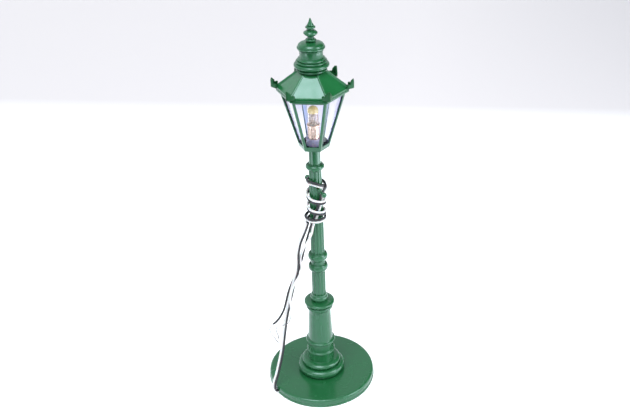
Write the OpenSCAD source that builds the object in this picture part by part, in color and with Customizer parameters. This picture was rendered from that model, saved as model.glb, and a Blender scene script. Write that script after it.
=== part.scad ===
// Model street lamp for a garden railway: a post on a round base, with a
// six-sided lantern, a lift-off roof, a screw-base bulb and a two-core lead.
// Millimetres. Z is up, z = 0 is the underside of the base, and the post's
// axis is the Z axis. One flat side of the lantern faces -Y.

/* [Base] */
// Diameter of the base disc
base_d = 62.4; // [52:0.2:75]
// Thickness of the base disc
base_h = 4.7; // [4.6:0.1:6]
// Height of the band round the foot of the disc's edge
base_band_h = 1.2; // [0.8:0.1:1.6]
// How far that band stands out
base_band_out = 0.25; // [0.1:0.05:0.5]
// Radius of the disc's rounded top edge
base_round = 1.4; // [0.8:0.1:2]

/* [Pedestal] */
// Height of the pedestal, from the disc to its collar
pedestal_h = 41.3; // [34:0.1:50]
// Diameter of the pedestal's lowest ring
foot_d = 27; // [24:0.1:32]
// Diameter of the drum above the foot rings
drum_d = 14.9; // [14:0.1:17]
// Diameter at the foot of the tapered body
body_d = 14.4; // [13.2:0.1:15]
// Diameter at the head of the tapered body
body_top_d = 12.2; // [11:0.1:13]
// Diameter of the collar's wide flange
flange_d = 17.2; // [15:0.1:21]
// Height of the collar
collar_h = 12.9; // [10.7:0.1:15.6]

/* [Shaft] */
// Diameter of the fluted shaft
shaft_d = 7.8; // [6.5:0.1:9.4]
// Diameter of the shaft under the neck ring
shaft_top_d = 6.8; // [6.5:0.1:7.4]
// Number of flutes
flutes = 12; // [8:1:16]
// Radius of the cutter that makes a flute
flute_r = 0.9; // [0.6:0.1:1.1]
// Depth of a flute
flute_depth = 0.35; // [0.2:0.05:0.5]
// Bore that the lead runs through
bore_d = 3.4; // [3:0.1:3.6]
// Length of the shaft below the double ring
lower_shaft_h = 15.6; // [12:0.1:20]
// Length of the shaft above the double ring
upper_shaft_h = 51.5; // [42.5:0.1:62]
// Diameter of the double ring
ring_d = 11; // [10.4:0.1:13.2]
// Height of the double ring
ring_h = 12; // [11:0.1:14]
// Diameter of the ring at the neck
neck_ring_d = 10; // [9:0.1:12]
// Height of the ring at the neck
neck_ring_h = 3.7; // [3:0.1:4.5]
// Diameter of the neck tube
neck_d = 6.3; // [6:0.1:7.4]
// Length of the neck tube
neck_h = 9.8; // [8:0.1:12]
// Diameter of the spigots that join the post's pieces
spigot_d = 5.4; // [4.8:0.1:5.6]
// Length of a spigot
spigot_l = 3; // [2:0.1:4]

/* [Ladder bar] */
// Length over the ladder bar's end balls
ladder_l = 25.2; // [20:0.2:30]
// Diameter of the ladder bar
ladder_d = 1.5; // [1.2:0.1:2]
// Diameter of its end balls
ladder_ball_d = 2.8; // [2.4:0.1:3.6]
// Height of the bar below the head of the shaft
ladder_drop = 10.1; // [9:0.1:11]

/* [Lantern] */
// Corner radius of the lantern at its foot
lantern_r = 7.9; // [6.6:0.1:9.5]
// Corner radius of the lantern at its head
lantern_top_r = 16.9; // [14:0.1:20.4]
// Height of the lantern, from its foot to its top rail
lantern_h = 30.7; // [25.5:0.1:37]
// Wall of the lantern frame
frame_wall = 1; // [0.8:0.1:1.3]
// Width of each half of a corner bar
bar_w = 1.25; // [1:0.05:1.6]
// Height of the lower rail
rail_h = 2.7; // [2:0.1:4]
// Thickness of the lantern's floor
floor_h = 1.5; // [1.2:0.1:2]
// Height of the top rail
top_rail_h = 1.1; // [0.8:0.1:1.5]
// Thickness of the clear glazing
glazing_t = 0.6; // [0.4:0.05:0.8]

/* [Roof] */
// How far the eaves stand out from the lantern's head
eave_out = 1.6; // [1.1:0.1:5]
// Height of the eave band
eave_h = 1.2; // [1:0.1:1.6]
// Corner radius of the roof's flat top
roof_top_r = 7.4; // [6.2:0.1:9]
// Height of the roof's slope
roof_slope_h = 8.2; // [6.8:0.1:10]
// Thickness of the roof
roof_t = 1.1; // [0.9:0.1:1.4]
// Width of a hip rib
rib_w = 1.2; // [0.8:0.1:1.6]
// Height of a corner crest
crest_h = 4.7; // [4:0.1:5.6]
// Thickness of a corner crest
crest_t = 0.9; // [0.7:0.1:1.2]
// How far a crest stands out from its corner
crest_out = 2.2; // [1.6:0.1:2.6]
// Half of a crest's width along the eaves
crest_w = 2.6; // [2:0.1:3.2]
// Diameter of the widest ring of the vent
vent_ring_d = 17.8; // [14.8:0.1:21.4]
// Diameter of the vent's drum
vent_drum_d = 11.7; // [11:0.1:13]
// Diameter of the vent's cap
vent_cap_d = 14.1; // [13.4:0.1:17]
// Diameter of the finial's bulb
finial_d = 7; // [6:0.1:8.4]

/* [Lamp] */
// Bore of the lamp socket
socket_bore = 5.4; // [4.5:0.1:6.5]
// Wall of the lamp socket
socket_wall = 0.4; // [0.3:0.05:0.6]
// Length of the lamp socket
socket_l = 9.1; // [7.5:0.1:11]
// Wall of the block that holds the socket
block_wall = 1.1; // [0.9:0.05:1.4]
// Height of that block
block_h = 3.7; // [3.2:0.1:4.4]
// Running clearance between the bulb's shell and the socket
shell_gap = 0.08; // [0.04:0.01:0.1]
// Diameter of the bulb's glass
glass_d = 5.4; // [4.5:0.1:6.5]
// Height of the glass above the shell
glass_h = 9.6; // [8:0.1:12]
// Thickness of the glass
glass_t = 0.35; // [0.25:0.05:0.5]

/* [Lead] */
// Diameter of one conductor of the lead
core_d = 1.2; // [1:0.1:1.2]
// Diameter of a bare tinned end
bare_d = 0.5; // [0.4:0.1:0.6]
// Width of the groove under the base
groove_w = 3.4; // [3.2:0.1:4]
// Depth of the groove under the base
groove_h = 2.2; // [2:0.1:2.4]

/* [Hidden] */
$fn = 96;

green = "#4e8a6a";
brass = "#c9a56a";
eps = 0.01;
fit = 0.05;
small_fn = 32;
core_sides = 8;

// Heights of the joints, each stacked on the piece below
pedestal_z = base_h;
collar_z = pedestal_z + pedestal_h;
lower_shaft_z = collar_z + collar_h;
ring_z = lower_shaft_z + lower_shaft_h;
upper_shaft_z = ring_z + ring_h;
neck_ring_z = upper_shaft_z + upper_shaft_h;
neck_z = neck_ring_z + neck_ring_h;
lantern_z = neck_z + neck_h;
floor_z = lantern_z + floor_h;
rail_z = lantern_z + lantern_h;
eave_z = rail_z + top_rail_h + 0.1;
slope_z = eave_z + eave_h;
roof_top_z = slope_z + roof_slope_h;
ladder_z = neck_ring_z - ladder_drop;

// Lantern: corner radius of its outer and inner faces at a height
eave_r = lantern_top_r + eave_out;
function lantern_r_at(z) = lantern_r + (lantern_top_r - lantern_r) * (z - lantern_z) / lantern_h;
function inside_r_at(z) = lantern_r_at(z) - frame_wall / cos(30);
pane_r_drop = (glazing_t + fit) / cos(30);

// Lamp: heights inside the socket
socket_d = socket_bore + 2 * socket_wall;
block_d = socket_d + 2 * block_wall;
block_z = floor_z;
socket_z = block_z + block_h - 1.5;
socket_top_z = socket_z + socket_l;
washer_z = block_z + block_h;
washer_h = 0.6;
contact_top_z = washer_z + washer_h + 0.3;
tip_z = contact_top_z + fit;
tip_h = 0.6;
shell_z = tip_z + tip_h + 0.02;
shell_r = socket_bore / 2 - shell_gap;
shell_t = 0.25;
glass_z = socket_top_z + 0.2;
glass_top_z = glass_z + glass_h;
neck_glass_r = shell_r - shell_t - 0.05;
lead_top_z = lantern_z + 0.5;
rivet_foot_z = lead_top_z + 0.5;

// Joint between the post's pieces
spigot_r = spigot_d / 2;
socket_r = spigot_r + fit;
top_spigot_r = 2.25;

// Lead: where it leaves the base, and its two cores
exit_angle = 219;
core_r = core_d / 2;
core_side = core_r + 0.02;
groove_z = groove_h - core_d - 0.1 + core_r;
spread = [cos(exit_angle + 90), sin(exit_angle + 90), 0];
outward = [cos(exit_angle), sin(exit_angle), 0];

// Routes of the free lead outside the base, chosen by hand
RISER_BLACK = [[-23.5, -19.8, 1.5], [-24.5, -20.6, 1.8], [-25, -21, 3.4], [-24.9, -20.7, 6.4],
    [-24, -19.9, 10], [-23, -19.1, 13.4], [-21.6, -18.1, 19.5], [-19.7, -16.8, 29], [-18.4, -15.6, 39],
    [-17, -14.5, 49], [-15.2, -13.4, 58], [-13.2, -12.2, 67], [-11.7, -11.3, 73], [-10, -10.5, 79],
    [-9.5, -10.1, 85], [-9.2, -9.7, 91], [-8, -8.8, 97], [-6.2, -7.2, 101.5], [-4.9, -5.2, 104.6],
    [-4.4, -3, 106.4]];
RISER_WHITE = [[-24.3, -18.8, 1.5], [-25.3, -19.6, 1.9], [-26.1, -20.2, 3.7], [-26.1, -20.5, 6.8],
    [-25.2, -20, 10.3], [-24.2, -19.2, 13.7], [-22.8, -18.2, 19.8], [-20.9, -16.9, 29.3],
    [-19.6, -15.7, 39.3], [-18.2, -14.6, 49.3], [-16.4, -13.5, 58.3], [-14.4, -12.3, 67.3],
    [-12.9, -11.4, 73.3], [-11.2, -10.7, 79.3], [-10.7, -10.2, 85.3], [-10.4, -9.8, 91.3],
    [-9.2, -8.9, 97.3], [-7.4, -7.4, 101.8], [-6.1, -5.5, 104.8], [-5.6, -3.2, 106.4]];
END_BLACK = [[-2.6, -4.7, 106.4], [-3.7, -5.4, 102.6], [-5, -6.2, 98], [-6.5, -6.9, 92], [-7.8, -7.7, 86.5],
    [-10, -8.7, 79], [-13.1, -9.8, 73.5], [-15.6, -11.5, 67], [-17.1, -13, 61], [-18.3, -14.5, 56.5],
    [-20.1, -16.2, 53], [-22.2, -17.9, 50.6], [-24.2, -19.2, 49.4]];
END_WHITE = [[-1.3, -5, 106.4], [-2.2, -6.1, 102], [-3.9, -7.3, 98.4], [-5.8, -8.1, 95.2], [-7.3, -8.5, 92],
    [-8.6, -9, 87], [-8, -10.5, 82], [-9.4, -12.2, 77.5], [-11.4, -12.8, 74], [-13.4, -13.5, 69],
    [-14.4, -14.3, 64], [-14.3, -14.9, 59], [-14.1, -14.8, 55], [-14.7, -14.8, 51]];
BARE_BLACK = [[-24.2, -19.2, 49.4], [-25.8, -20.7, 47.6], [-25.7, -20.7, 44.8], [-23.7, -19.4, 39.7],
    [-21.9, -18.4, 35.4]];
BARE_WHITE = [[-14.7, -14.8, 51], [-15.9, -16.3, 48.6], [-18.6, -17.9, 47.9], [-21.6, -18.9, 47.6],
    [-22.8, -18.9, 45.2], [-22, -18.4, 41.5], [-21.5, -18.2, 38.4]];
WINDING_Z = 106.4;
WINDING_H = 27.2;
exit_r = norm([RISER_BLACK[0][0], RISER_BLACK[0][1]]);

// Points along an arc about c, from angle a to angle b
function arc(c, r, a, b, n = 6) =
    [for (i = [0:n]) c + r * [cos(a + (b - a) * i / n), sin(a + (b - a) * i / n)]];

// Points of a rounded bead that swells from radius r_in to r_out over height h
function bead(r_in, r_out, z, h, n = 10) =
    [for (i = [0:n]) let (a = 180 * i / n - 90) [r_in + (r_out - r_in) * cos(a), z + h * (1 + sin(a)) / 2]];

// A turned solid: outline points from its foot up, closed at the bore's radius
module turned(points, bore_r = 0) {
    last = points[len(points) - 1];
    rotate_extrude() polygon(concat([[bore_r, points[0][1]]], points, [[bore_r, last[1]]]));
}

module rod(r, z0, z1, sides = small_fn) {
    translate([0, 0, z0]) cylinder(r = r, h = z1 - z0, $fn = sides);
}

module tube(r_out, r_in, z0, z1) {
    difference() {
        rod(r_out, z0, z1, $fn);
        rod(r_in, z0 - 1, z1 + 1, $fn);
    }
}

// A six-sided tapered solid with a corner on +X
module hexcone(r0, r1, z0, z1) {
    translate([0, 0, z0]) cylinder(r1 = r0, r2 = r1, h = z1 - z0, $fn = 6);
}

function unit(v) = v / norm(v);

// A core of the lead: rings of points swept along a route
module core(route, r) {
    n = len(route);
    tangents = [for (i = [0:n - 1]) unit(route[min(i + 1, n - 1)] - route[max(i - 1, 0)])];
    points = [for (i = [0:n - 1])
        let (side = unit(cross(tangents[i], spread)), other = cross(tangents[i], side))
        for (k = [0:core_sides - 1])
            let (a = 360 * k / core_sides)
            route[i] + r * (cos(a) * side + sin(a) * other)];
    ends = [[for (k = [0:core_sides - 1]) k],
        [for (k = [core_sides - 1:-1:0]) (n - 1) * core_sides + k]];
    sides = [for (i = [0:n - 2]) for (k = [0:core_sides - 1])
        let (next = (k + 1) % core_sides)
        [i * core_sides + k, (i + 1) * core_sides + k, (i + 1) * core_sides + next, i * core_sides + next]];
    polyhedron(points = points, faces = concat(ends, sides), convexity = 6);
}

// Base -----------------------------------------------------------------

recess_r = 6.6;
recess_h = 3.3;
screw_ring_r = 9.4;
screw_r = 0.8;
screw_head_r = 1.7;
screw_head_h = 1.3;
screw_l = 7;
clip_r = 19;
clip_size = [5, 7, 0.8];

module at_screws() {
    for (k = [0:2]) rotate(30 + 120 * k) translate([screw_ring_r, 0, 0]) children();
}

module base_disc() {
    r = base_d / 2;
    edge_r = r - base_band_out;
    color(green) difference() {
        turned(concat([[r, 0], [r, base_band_h], [edge_r, base_band_h]],
            arc([edge_r - base_round, base_h - base_round], base_round, 0, 90)));
        rod(recess_r, -1, recess_h, $fn);
        rod(socket_r, -1, base_h + 1, $fn);
        rotate(exit_angle) translate([0, -groove_w / 2, -1]) cube([base_d, groove_w, groove_h + 1]);
        rotate(exit_angle) translate([clip_r, 0, clip_size[2] / 2 - 1 + fit])
            cube([clip_size[0] + 2 * fit, clip_size[1] + 2 * fit, clip_size[2] + 2], center = true);
        at_screws() rod(screw_r + 0.15, -1, base_h + 1);
        at_screws() rod(screw_head_r + 0.15, -1, screw_head_h + 0.3);
    }
}

module base_screws() {
    color("silver") at_screws() difference() {
        union() {
            rod(screw_head_r, 0.3, 0.3 + screw_head_h);
            rod(screw_r, 0.3, 0.3 + screw_l);
        }
        for (a = [0, 90]) rotate(a) translate([0, 0, 0.3]) cube([1.9, 0.4, 1.2], center = true);
    }
}

module lead_clip() {
    color("#202224") rotate(exit_angle) translate([clip_r, 0, clip_size[2] / 2 + fit])
        cube(clip_size, center = true);
}

// Post -----------------------------------------------------------------

module pedestal() {
    z = pedestal_z;
    drum_r = drum_d / 2;
    ring_r = foot_d / 2;
    foot = concat(bead(ring_r - 2.3, ring_r, z, 5), bead(ring_r - 4.9, ring_r - 2.8, z + 5, 3.5));
    drum = concat([[drum_r, z + 8.6]], bead(drum_r, drum_r + 0.55, z + 13.2, 1.4),
        [[drum_r - 0.05, z + 15], [drum_r - 0.05, z + 20.6]],
        bead(drum_r - 0.05, drum_r + 0.9, z + 20.8, 1.7));
    color(green) difference() {
        union() {
            turned(concat(foot, drum, [[body_d / 2, z + 22.8], [body_top_d / 2, collar_z]]));
            rod(spigot_r, recess_h, z + eps, $fn);
        }
        rod(bore_d / 2, 0, collar_z + 1, $fn);
        rod(socket_r, collar_z - spigot_l - fit, collar_z + 1, $fn);
        at_screws() rod(screw_r, z - 1, 0.3 + screw_l + 0.3);
    }
}

module pedestal_collar() {
    z = collar_z;
    u = collar_h / 100;
    flange_r = flange_d / 2;
    neck_r = shaft_d / 2 + 0.4;
    moulding = concat([[body_top_d / 2 + 0.1, z]], arc([body_top_d / 2 + 2.3, z + 0.2], 2.2, 180, 118),
        [[body_top_d / 2 + 0.8, z + 22 * u]],
        bead(body_top_d / 2 + 0.8, body_top_d / 2 + 1.25, z + 24 * u, 11 * u));
    flange = concat([[body_top_d / 2 + 0.9, z + 39 * u], [flange_r - 0.7, z + 48 * u]],
        arc([flange_r - 0.8, z + 56 * u], 0.8, -30, 60), [[flange_r - 1.2, z + 64 * u]]);
    seat = concat([[neck_r + 0.6, z + 66 * u], [neck_r, z + 70 * u]],
        bead(neck_r, neck_r + 0.5, z + 76 * u, 18 * u),
        [[neck_r - 0.1, z + 97 * u], [neck_r - 0.1, z + collar_h]]);
    color(green) difference() {
        union() {
            turned(concat(moulding, flange, seat));
            rod(spigot_r, z - spigot_l, z + eps, $fn);
        }
        rod(bore_d / 2, 0, 2 * z, $fn);
        rod(socket_r, z + collar_h - spigot_l - fit, z + collar_h + 1, $fn);
    }
}

module fluted_outline(r) {
    difference() {
        circle(r = r);
        for (k = [0:flutes - 1]) rotate(360 * (k + 0.5) / flutes)
            translate([r - flute_depth + flute_r, 0]) circle(r = flute_r, $fn = 24);
    }
}

module lower_shaft() {
    color(green) difference() {
        union() {
            translate([0, 0, lower_shaft_z]) linear_extrude(lower_shaft_h) fluted_outline(shaft_d / 2);
            rod(spigot_r, lower_shaft_z - spigot_l, ring_z + spigot_l, $fn);
        }
        rod(bore_d / 2, 0, 2 * ring_z, $fn);
    }
}

module double_ring() {
    core_ring_r = shaft_d / 2 + 0.05;
    out_r = ring_d / 2;
    gap = 2;
    bowl_h = (ring_h - gap) / 2;
    function bowl(z) = concat([[core_ring_r, z]], bead(core_ring_r + 0.2, out_r, z + 0.6, bowl_h - 0.8),
        [[core_ring_r, z + bowl_h]]);
    color(green) difference() {
        turned(concat(bowl(ring_z), bowl(ring_z + bowl_h + gap)));
        rod(bore_d / 2, 0, 2 * ring_z, $fn);
        rod(socket_r, ring_z - 1, ring_z + spigot_l + fit, $fn);
        rod(socket_r, upper_shaft_z - spigot_l - fit, upper_shaft_z + 1, $fn);
    }
}

module upper_shaft() {
    color(green) difference() {
        union() {
            translate([0, 0, upper_shaft_z])
                linear_extrude(upper_shaft_h, scale = shaft_top_d / shaft_d) fluted_outline(shaft_d / 2);
            rod(spigot_r, upper_shaft_z - spigot_l, upper_shaft_z + 1, $fn);
            rod(top_spigot_r, neck_ring_z - 1, neck_ring_z + neck_ring_h / 2, $fn);
        }
        rod(bore_d / 2, 0, 2 * neck_ring_z, $fn);
        for (side = [0, 180]) along_ladder(side) cylinder(r = ladder_d / 2, h = ladder_l, $fn = small_fn);
    }
}

module neck_ring() {
    z = neck_ring_z;
    r = shaft_top_d / 2 - 0.1;
    color(green) difference() {
        turned(concat([[r, z]], bead(r + 0.1, neck_ring_d / 2, z + 0.2, neck_ring_h - 0.8),
            [[neck_d / 2 + 0.3, z + neck_ring_h]]));
        rod(top_spigot_r + fit, z - 1, z + neck_ring_h + 1, $fn);
    }
}

module neck_tube() {
    color(green) difference() {
        union() {
            rod(neck_d / 2, neck_z, lantern_z, $fn);
            rod(top_spigot_r, neck_z - neck_ring_h / 2 + fit, floor_z, $fn);
        }
        rod(bore_d / 2, 0, 2 * lantern_z, $fn);
    }
}

// Ladder arms: two short rods let into the shaft, each with a ball at its end

ladder_angle = -60;

module along_ladder(side) {
    rotate(ladder_angle + side) translate([0, 0, ladder_z]) rotate([0, 90, 0]) children();
}

module ladder_arms() {
    inner = bore_d / 2 + 0.1;
    ball_at = (ladder_l - ladder_ball_d) / 2;
    color(green) for (side = [0, 180]) along_ladder(side) {
        translate([0, 0, inner]) cylinder(r = ladder_d / 2, h = ball_at - inner, $fn = small_fn);
        translate([0, 0, ball_at]) sphere(r = ladder_ball_d / 2, $fn = small_fn);
    }
}

// Lantern --------------------------------------------------------------

window_z = lantern_z + rail_h;
window_top_z = rail_z - 1.4;

module lantern_frame() {
    margin = 6;
    function half(z) = lantern_r_at(z) / 2 - bar_w;
    window = [[-half(window_z), window_z], [half(window_z), window_z],
        [half(window_top_z), window_top_z], [-half(window_top_z), window_top_z]];
    color(green) difference() {
        union() {
            hexcone(lantern_r, lantern_top_r, lantern_z, rail_z);
            hexcone(eave_r, eave_r, rail_z, rail_z + top_rail_h);
        }
        hexcone(inside_r_at(floor_z), inside_r_at(rail_z), floor_z, rail_z);
        hexcone(inside_r_at(rail_z), inside_r_at(rail_z), rail_z - eps, rail_z + top_rail_h + 1);
        for (k = [0:5]) rotate(60 * k + 30) translate([lantern_r / 2 - 1, 0, 0]) rotate([90, 0, 90])
            linear_extrude(lantern_top_r + margin) polygon(window);
        rod(top_spigot_r + fit, lantern_z - 1, floor_z + 1, $fn);
    }
}

module glazing() {
    z0 = floor_z + fit;
    z1 = rail_z;
    gap = fit / cos(30);
    color([0.75, 0.8, 0.95, 0.4]) difference() {
        hexcone(inside_r_at(z0) - gap, inside_r_at(z1) - gap, z0, z1);
        hexcone(inside_r_at(z0) - pane_r_drop, inside_r_at(z1) - pane_r_drop, z0 - eps, z1 + eps);
    }
}

// Lamp: a brass screw socket on its block, with its contacts and leads ----

tag_angle = exit_angle + 90;
tag_x = 1.15;
tag_w = 0.7;
tag_t = 0.4;
rivet_r = 0.6;

module socket_block() {
    color([0.55, 0.55, 0.66]) difference() {
        rod(block_d / 2, block_z, washer_z, $fn);
        difference() {
            rod(socket_d / 2 + fit, socket_z - fit, washer_z + 1, $fn);
            rod(socket_bore / 2 - fit, socket_z - 1, washer_z + 2, $fn);
        }
        rod(rivet_r + 0.03, block_z - 1, washer_z + 1);
        rotate(tag_angle) translate([tag_x - tag_t - fit, -tag_w / 2 - fit, socket_z - tag_t - fit])
            cube([socket_d / 2 - tag_x + tag_t + fit, tag_w + 2 * fit, tag_t + 2 * fit]);
        rotate(tag_angle) translate([tag_x - tag_t - fit, -tag_w / 2 - fit, block_z - 1])
            cube([tag_t + 2 * fit, tag_w + 2 * fit, socket_z - block_z + 1]);
    }
}

module lamp_socket() {
    color(brass) {
        tube(socket_d / 2, socket_bore / 2, socket_z, socket_top_z);
        tube(socket_d / 2 + 0.4, socket_bore / 2, socket_top_z - 0.5, socket_top_z);
    }
}

module socket_washer() {
    color("#6e4b2c") tube(socket_bore / 2 - fit, rivet_r + 0.03, washer_z, washer_z + washer_h);
}

module socket_contact() {
    color(brass) {
        rod(rivet_r, rivet_foot_z, contact_top_z);
        rod(1.3, washer_z + washer_h, contact_top_z);
    }
}

module socket_tag() {
    color(brass) rotate(tag_angle) {
        translate([tag_x - tag_t, -tag_w / 2, lead_top_z]) cube([tag_t, tag_w, socket_z - lead_top_z]);
        translate([tag_x - tag_t, -tag_w / 2, socket_z - tag_t])
            cube([socket_d / 2 - 0.1 - tag_x + tag_t, tag_w, tag_t]);
    }
}

// Lead: from the socket down the post, out at the base and up again --------

module inner_lead(side, top_z) {
    bend = 2.4;
    turn = [for (a = [0:22.5:90])
        [bend * (1 - cos(a)), 0, groove_z + bend * (1 - sin(a))]];
    reach = [[8, 0, groove_z], [16, 0, groove_z], [exit_r - 4, 0, groove_z], [exit_r, 0, groove_z]];
    drop = [for (z = [top_z, 128, 96, 64, 32, 10]) [0, 0, z]];
    path = concat(drop, turn, reach);
    core([for (p = path) p[0] * outward + [0, 0, p[2]] + side * core_side * spread], core_r);
}

module inner_lead_black() {
    color("#1c1d20") inner_lead(1, lead_top_z);
}

module inner_lead_white() {
    color("white") inner_lead(-1, rivet_foot_z);
}

module lead_black() {
    color("#1c1d20") {
        core(RISER_BLACK, core_r);
        core(END_BLACK, core_r);
    }
}

module lead_white() {
    color("white") {
        core(RISER_WHITE, core_r);
        core(END_WHITE, core_r);
    }
}

module bare_ends() {
    color("silver") {
        core(BARE_BLACK, bare_d / 2);
        core(BARE_WHITE, bare_d / 2);
    }
}

module lead_winding() {
    r_in = shaft_d / 2 + 0.15;
    r_out = r_in + 1.6;
    color("#808080") difference() {
        union() {
            tube(r_out, r_in, WINDING_Z, WINDING_Z + WINDING_H);
            tube(r_out + 0.8, r_in, WINDING_Z, WINDING_Z + 6);
        }
        for (side = [0, 180]) along_ladder(side)
            cylinder(r = ladder_d / 2 + 0.3, h = ladder_l, $fn = small_fn);
    }
}

// Roof -----------------------------------------------------------------

skirt_h = 2;

module roof() {
    drop = roof_t / cos(30);
    skirt_r = inside_r_at(rail_z) - 0.2;
    color(green) difference() {
        union() {
            hexcone(eave_r, eave_r, eave_z, slope_z);
            hexcone(eave_r - 0.5, roof_top_r, slope_z - eps, roof_top_z);
            hexcone(skirt_r, skirt_r, eave_z - top_rail_h, eave_z + eps);
            intersection() {
                hexcone(eave_r, roof_top_r + 0.5, slope_z - eps, roof_top_z);
                for (k = [0:5]) rotate(60 * k) translate([0, -rib_w / 2, slope_z - 1])
                    cube([eave_r + 1, rib_w, roof_slope_h + 1]);
            }
        }
        hexcone(skirt_r - drop, skirt_r - drop, eave_z - top_rail_h - 1, slope_z);
        hexcone(skirt_r - drop, roof_top_r - drop, slope_z - eps, roof_top_z - roof_t);
        rod(vent_spigot_r + fit, roof_top_z - roof_t - 1, roof_top_z + 1, $fn);
    }
}

// One wing of a corner crest: half of a pointed centre leaf, and a lower side lobe
module crest_wing(wing_l) {
    top = crest_h - 0.4;
    lap = crest_t / 2;
    wing = concat([[-lap, -0.4], [wing_l - 0.3, -0.4]], arc([wing_l - 0.85, 1], 0.85, -50, 130),
        [[wing_l * 0.52, 1.7]], arc([wing_l * 0.27, top * 0.6], 0.6, -20, 60), [[0, top], [-lap, top - 0.8]]);
    rotate([90, 0, 0]) linear_extrude(crest_t) polygon(wing);
}

// A crest is folded round its corner of the eaves, on a small web
module roof_crests() {
    tip = [eave_r + crest_out - crest_t / 2, 0];
    back = [eave_r + 2 * fit - crest_w * tan(30), crest_w];
    turn = atan2(back[1] - tip[1], back[0] - tip[0]);
    color(green) for (k = [0:5]) rotate(60 * k) translate([0, 0, slope_z + 0.1]) {
        for (m = [0, 1]) mirror([0, m, 0]) translate([tip[0], 0, 0]) rotate(turn) crest_wing(norm(back - tip));
        translate([0, 0, -0.4]) linear_extrude(0.9)
            polygon([tip, back, [eave_r + 2 * fit, 0], [back[0], -back[1]]]);
    }
}

vent_spigot_r = 4;
rings_z = roof_top_z;
rings_h = 7.6;
drum_z = rings_z + rings_h;
drum_h = 3.2;
cap_z = drum_z + drum_h;
cap_h = 5.8;
finial_z = cap_z + cap_h;
stud_r = 1.2;

module vent_rings() {
    z = rings_z;
    r = vent_ring_d / 2;
    throat = concat([[r - 3.2, z], [r - 3.2, z + 0.5]], bead(r - 2.4, r - 1.1, z + 0.6, 1.4));
    widest = concat([[r - 1.6, z + 2.1]], bead(r - 1.1, r, z + 2.5, 2.2), [[r - 1.6, z + 4.9]]);
    steps = concat(bead(r - 1.7, r - 1.05, z + 5, 1), [[r - 2.4, z + 6]],
        bead(r - 2.4, r - 1.9, z + 6.1, 1), [[vent_drum_d / 2, z + rings_h]]);
    color(green) difference() {
        union() {
            turned(concat(throat, widest, steps));
            rod(vent_spigot_r, z - roof_t, z + eps, $fn);
        }
        rod(stud_r + fit, z - roof_t - 1, drum_z + 1);
    }
}

module vent_drum() {
    r = vent_drum_d / 2;
    waist = [for (i = [0:8]) [r - 0.25 * sin(22.5 * i), drum_z + drum_h * i / 8]];
    color(green) difference() {
        turned(waist);
        rod(stud_r + fit, drum_z - 1, cap_z + 1);
    }
}

module vent_cap() {
    r = vent_cap_d / 2;
    lips = concat([[vent_drum_d / 2 + 0.1, cap_z]], bead(r - 1, r - 0.65, cap_z + 0.2, 0.8),
        bead(r - 0.5, r, cap_z + 1.1, 1.1));
    dome = [for (i = [0:10]) [2.9 + (r - 3.7) * cos(9 * i), cap_z + 2.4 + (cap_h - 2.4) * sin(9 * i)]];
    color(green) difference() {
        turned(concat(lips, dome));
        rod(stud_r + fit, cap_z - 1, finial_z + 1);
    }
}

module finial() {
    z = finial_z;
    r = finial_d / 2;
    foot = concat(bead(2, 2.5, z, 0.8), [[1.9, z + 1.1]]);
    ball = [for (i = [0:12]) [1.7 + (r - 1.7) * sin(15 * i), z + 1.3 + 3.5 * i / 12]];
    top = concat(bead(1.8, 2.55, z + 5.3, 1.3),
        [[1.5, z + 7.2], [1, z + 8], [0.65, z + 9], [0.4, z + 10], [0.12, z + 10.6]]);
    color(green) {
        turned(concat(foot, ball, top));
        rod(stud_r, rings_z, z + eps);
    }
}

// Bulb -----------------------------------------------------------------

module bulb_glass() {
    r = glass_d / 2;
    function skin(inset) = concat(
        [[neck_glass_r - inset, glass_z - 2.2], [neck_glass_r - inset, glass_z], [r - inset, glass_z + 0.7]],
        arc([0, glass_top_z - r], r - inset, 0, 90, 12));
    inner = skin(glass_t);
    color([0.9, 0.93, 0.97, 0.35]) rotate_extrude()
        polygon(concat(skin(0), [for (i = [len(inner) - 1:-1:0]) inner[i]]));
}

module bulb_crown() {
    r = glass_d / 2 + 0.02;
    cap = concat(arc([0, glass_top_z - glass_d / 2], r, 5, 90, 10),
        arc([0, glass_top_z - glass_d / 2], r + 0.12, 90, 5, 10));
    color([1, 0.78, 0.2, 0.8]) rotate_extrude() polygon(cap);
}

module bulb_shell() {
    color(brass) {
        tube(shell_r, shell_r - shell_t, shell_z, socket_top_z);
        tube(socket_bore / 2 + fit, shell_r - shell_t, socket_top_z + fit, glass_z);
        tube(shell_r, shell_r - shell_t, socket_top_z - eps, socket_top_z + fit + eps);
    }
}

module bulb_insulator() {
    color("#15161a") rod(shell_r - shell_t - 0.02, shell_z, shell_z + 0.7, $fn);
}

module bulb_contact() {
    color("silver") translate([0, 0, tip_z]) cylinder(r1 = 0.7, r2 = 1, h = tip_h, $fn = small_fn);
}

// Glass bead that carries the two support wires
module bulb_bead() {
    bead_z = glass_z - 0.6;
    color([0.8, 0.85, 0.9, 0.8]) difference() {
        rod(neck_glass_r - glass_t - 0.05, glass_z - 2, bead_z);
        for (side = [-1, 1]) translate([side * wire_x, 0, 0]) rod(wire_r + 0.02, 0, 2 * bead_z, 24);
    }
}

wire_x = 0.9;
wire_r = 0.12;
filament_z = glass_z + 4.6;

module bulb_filament() {
    coil_r = 0.28;
    color("#9a9a9e") {
        for (side = [-1, 1]) translate([side * wire_x, 0, 0]) rod(wire_r, glass_z - 1.9, filament_z, 24);
        translate([-wire_x, 0, filament_z]) rotate([0, 90, 0]) cylinder(r = coil_r, h = 2 * wire_x, $fn = 24);
    }
}

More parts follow.
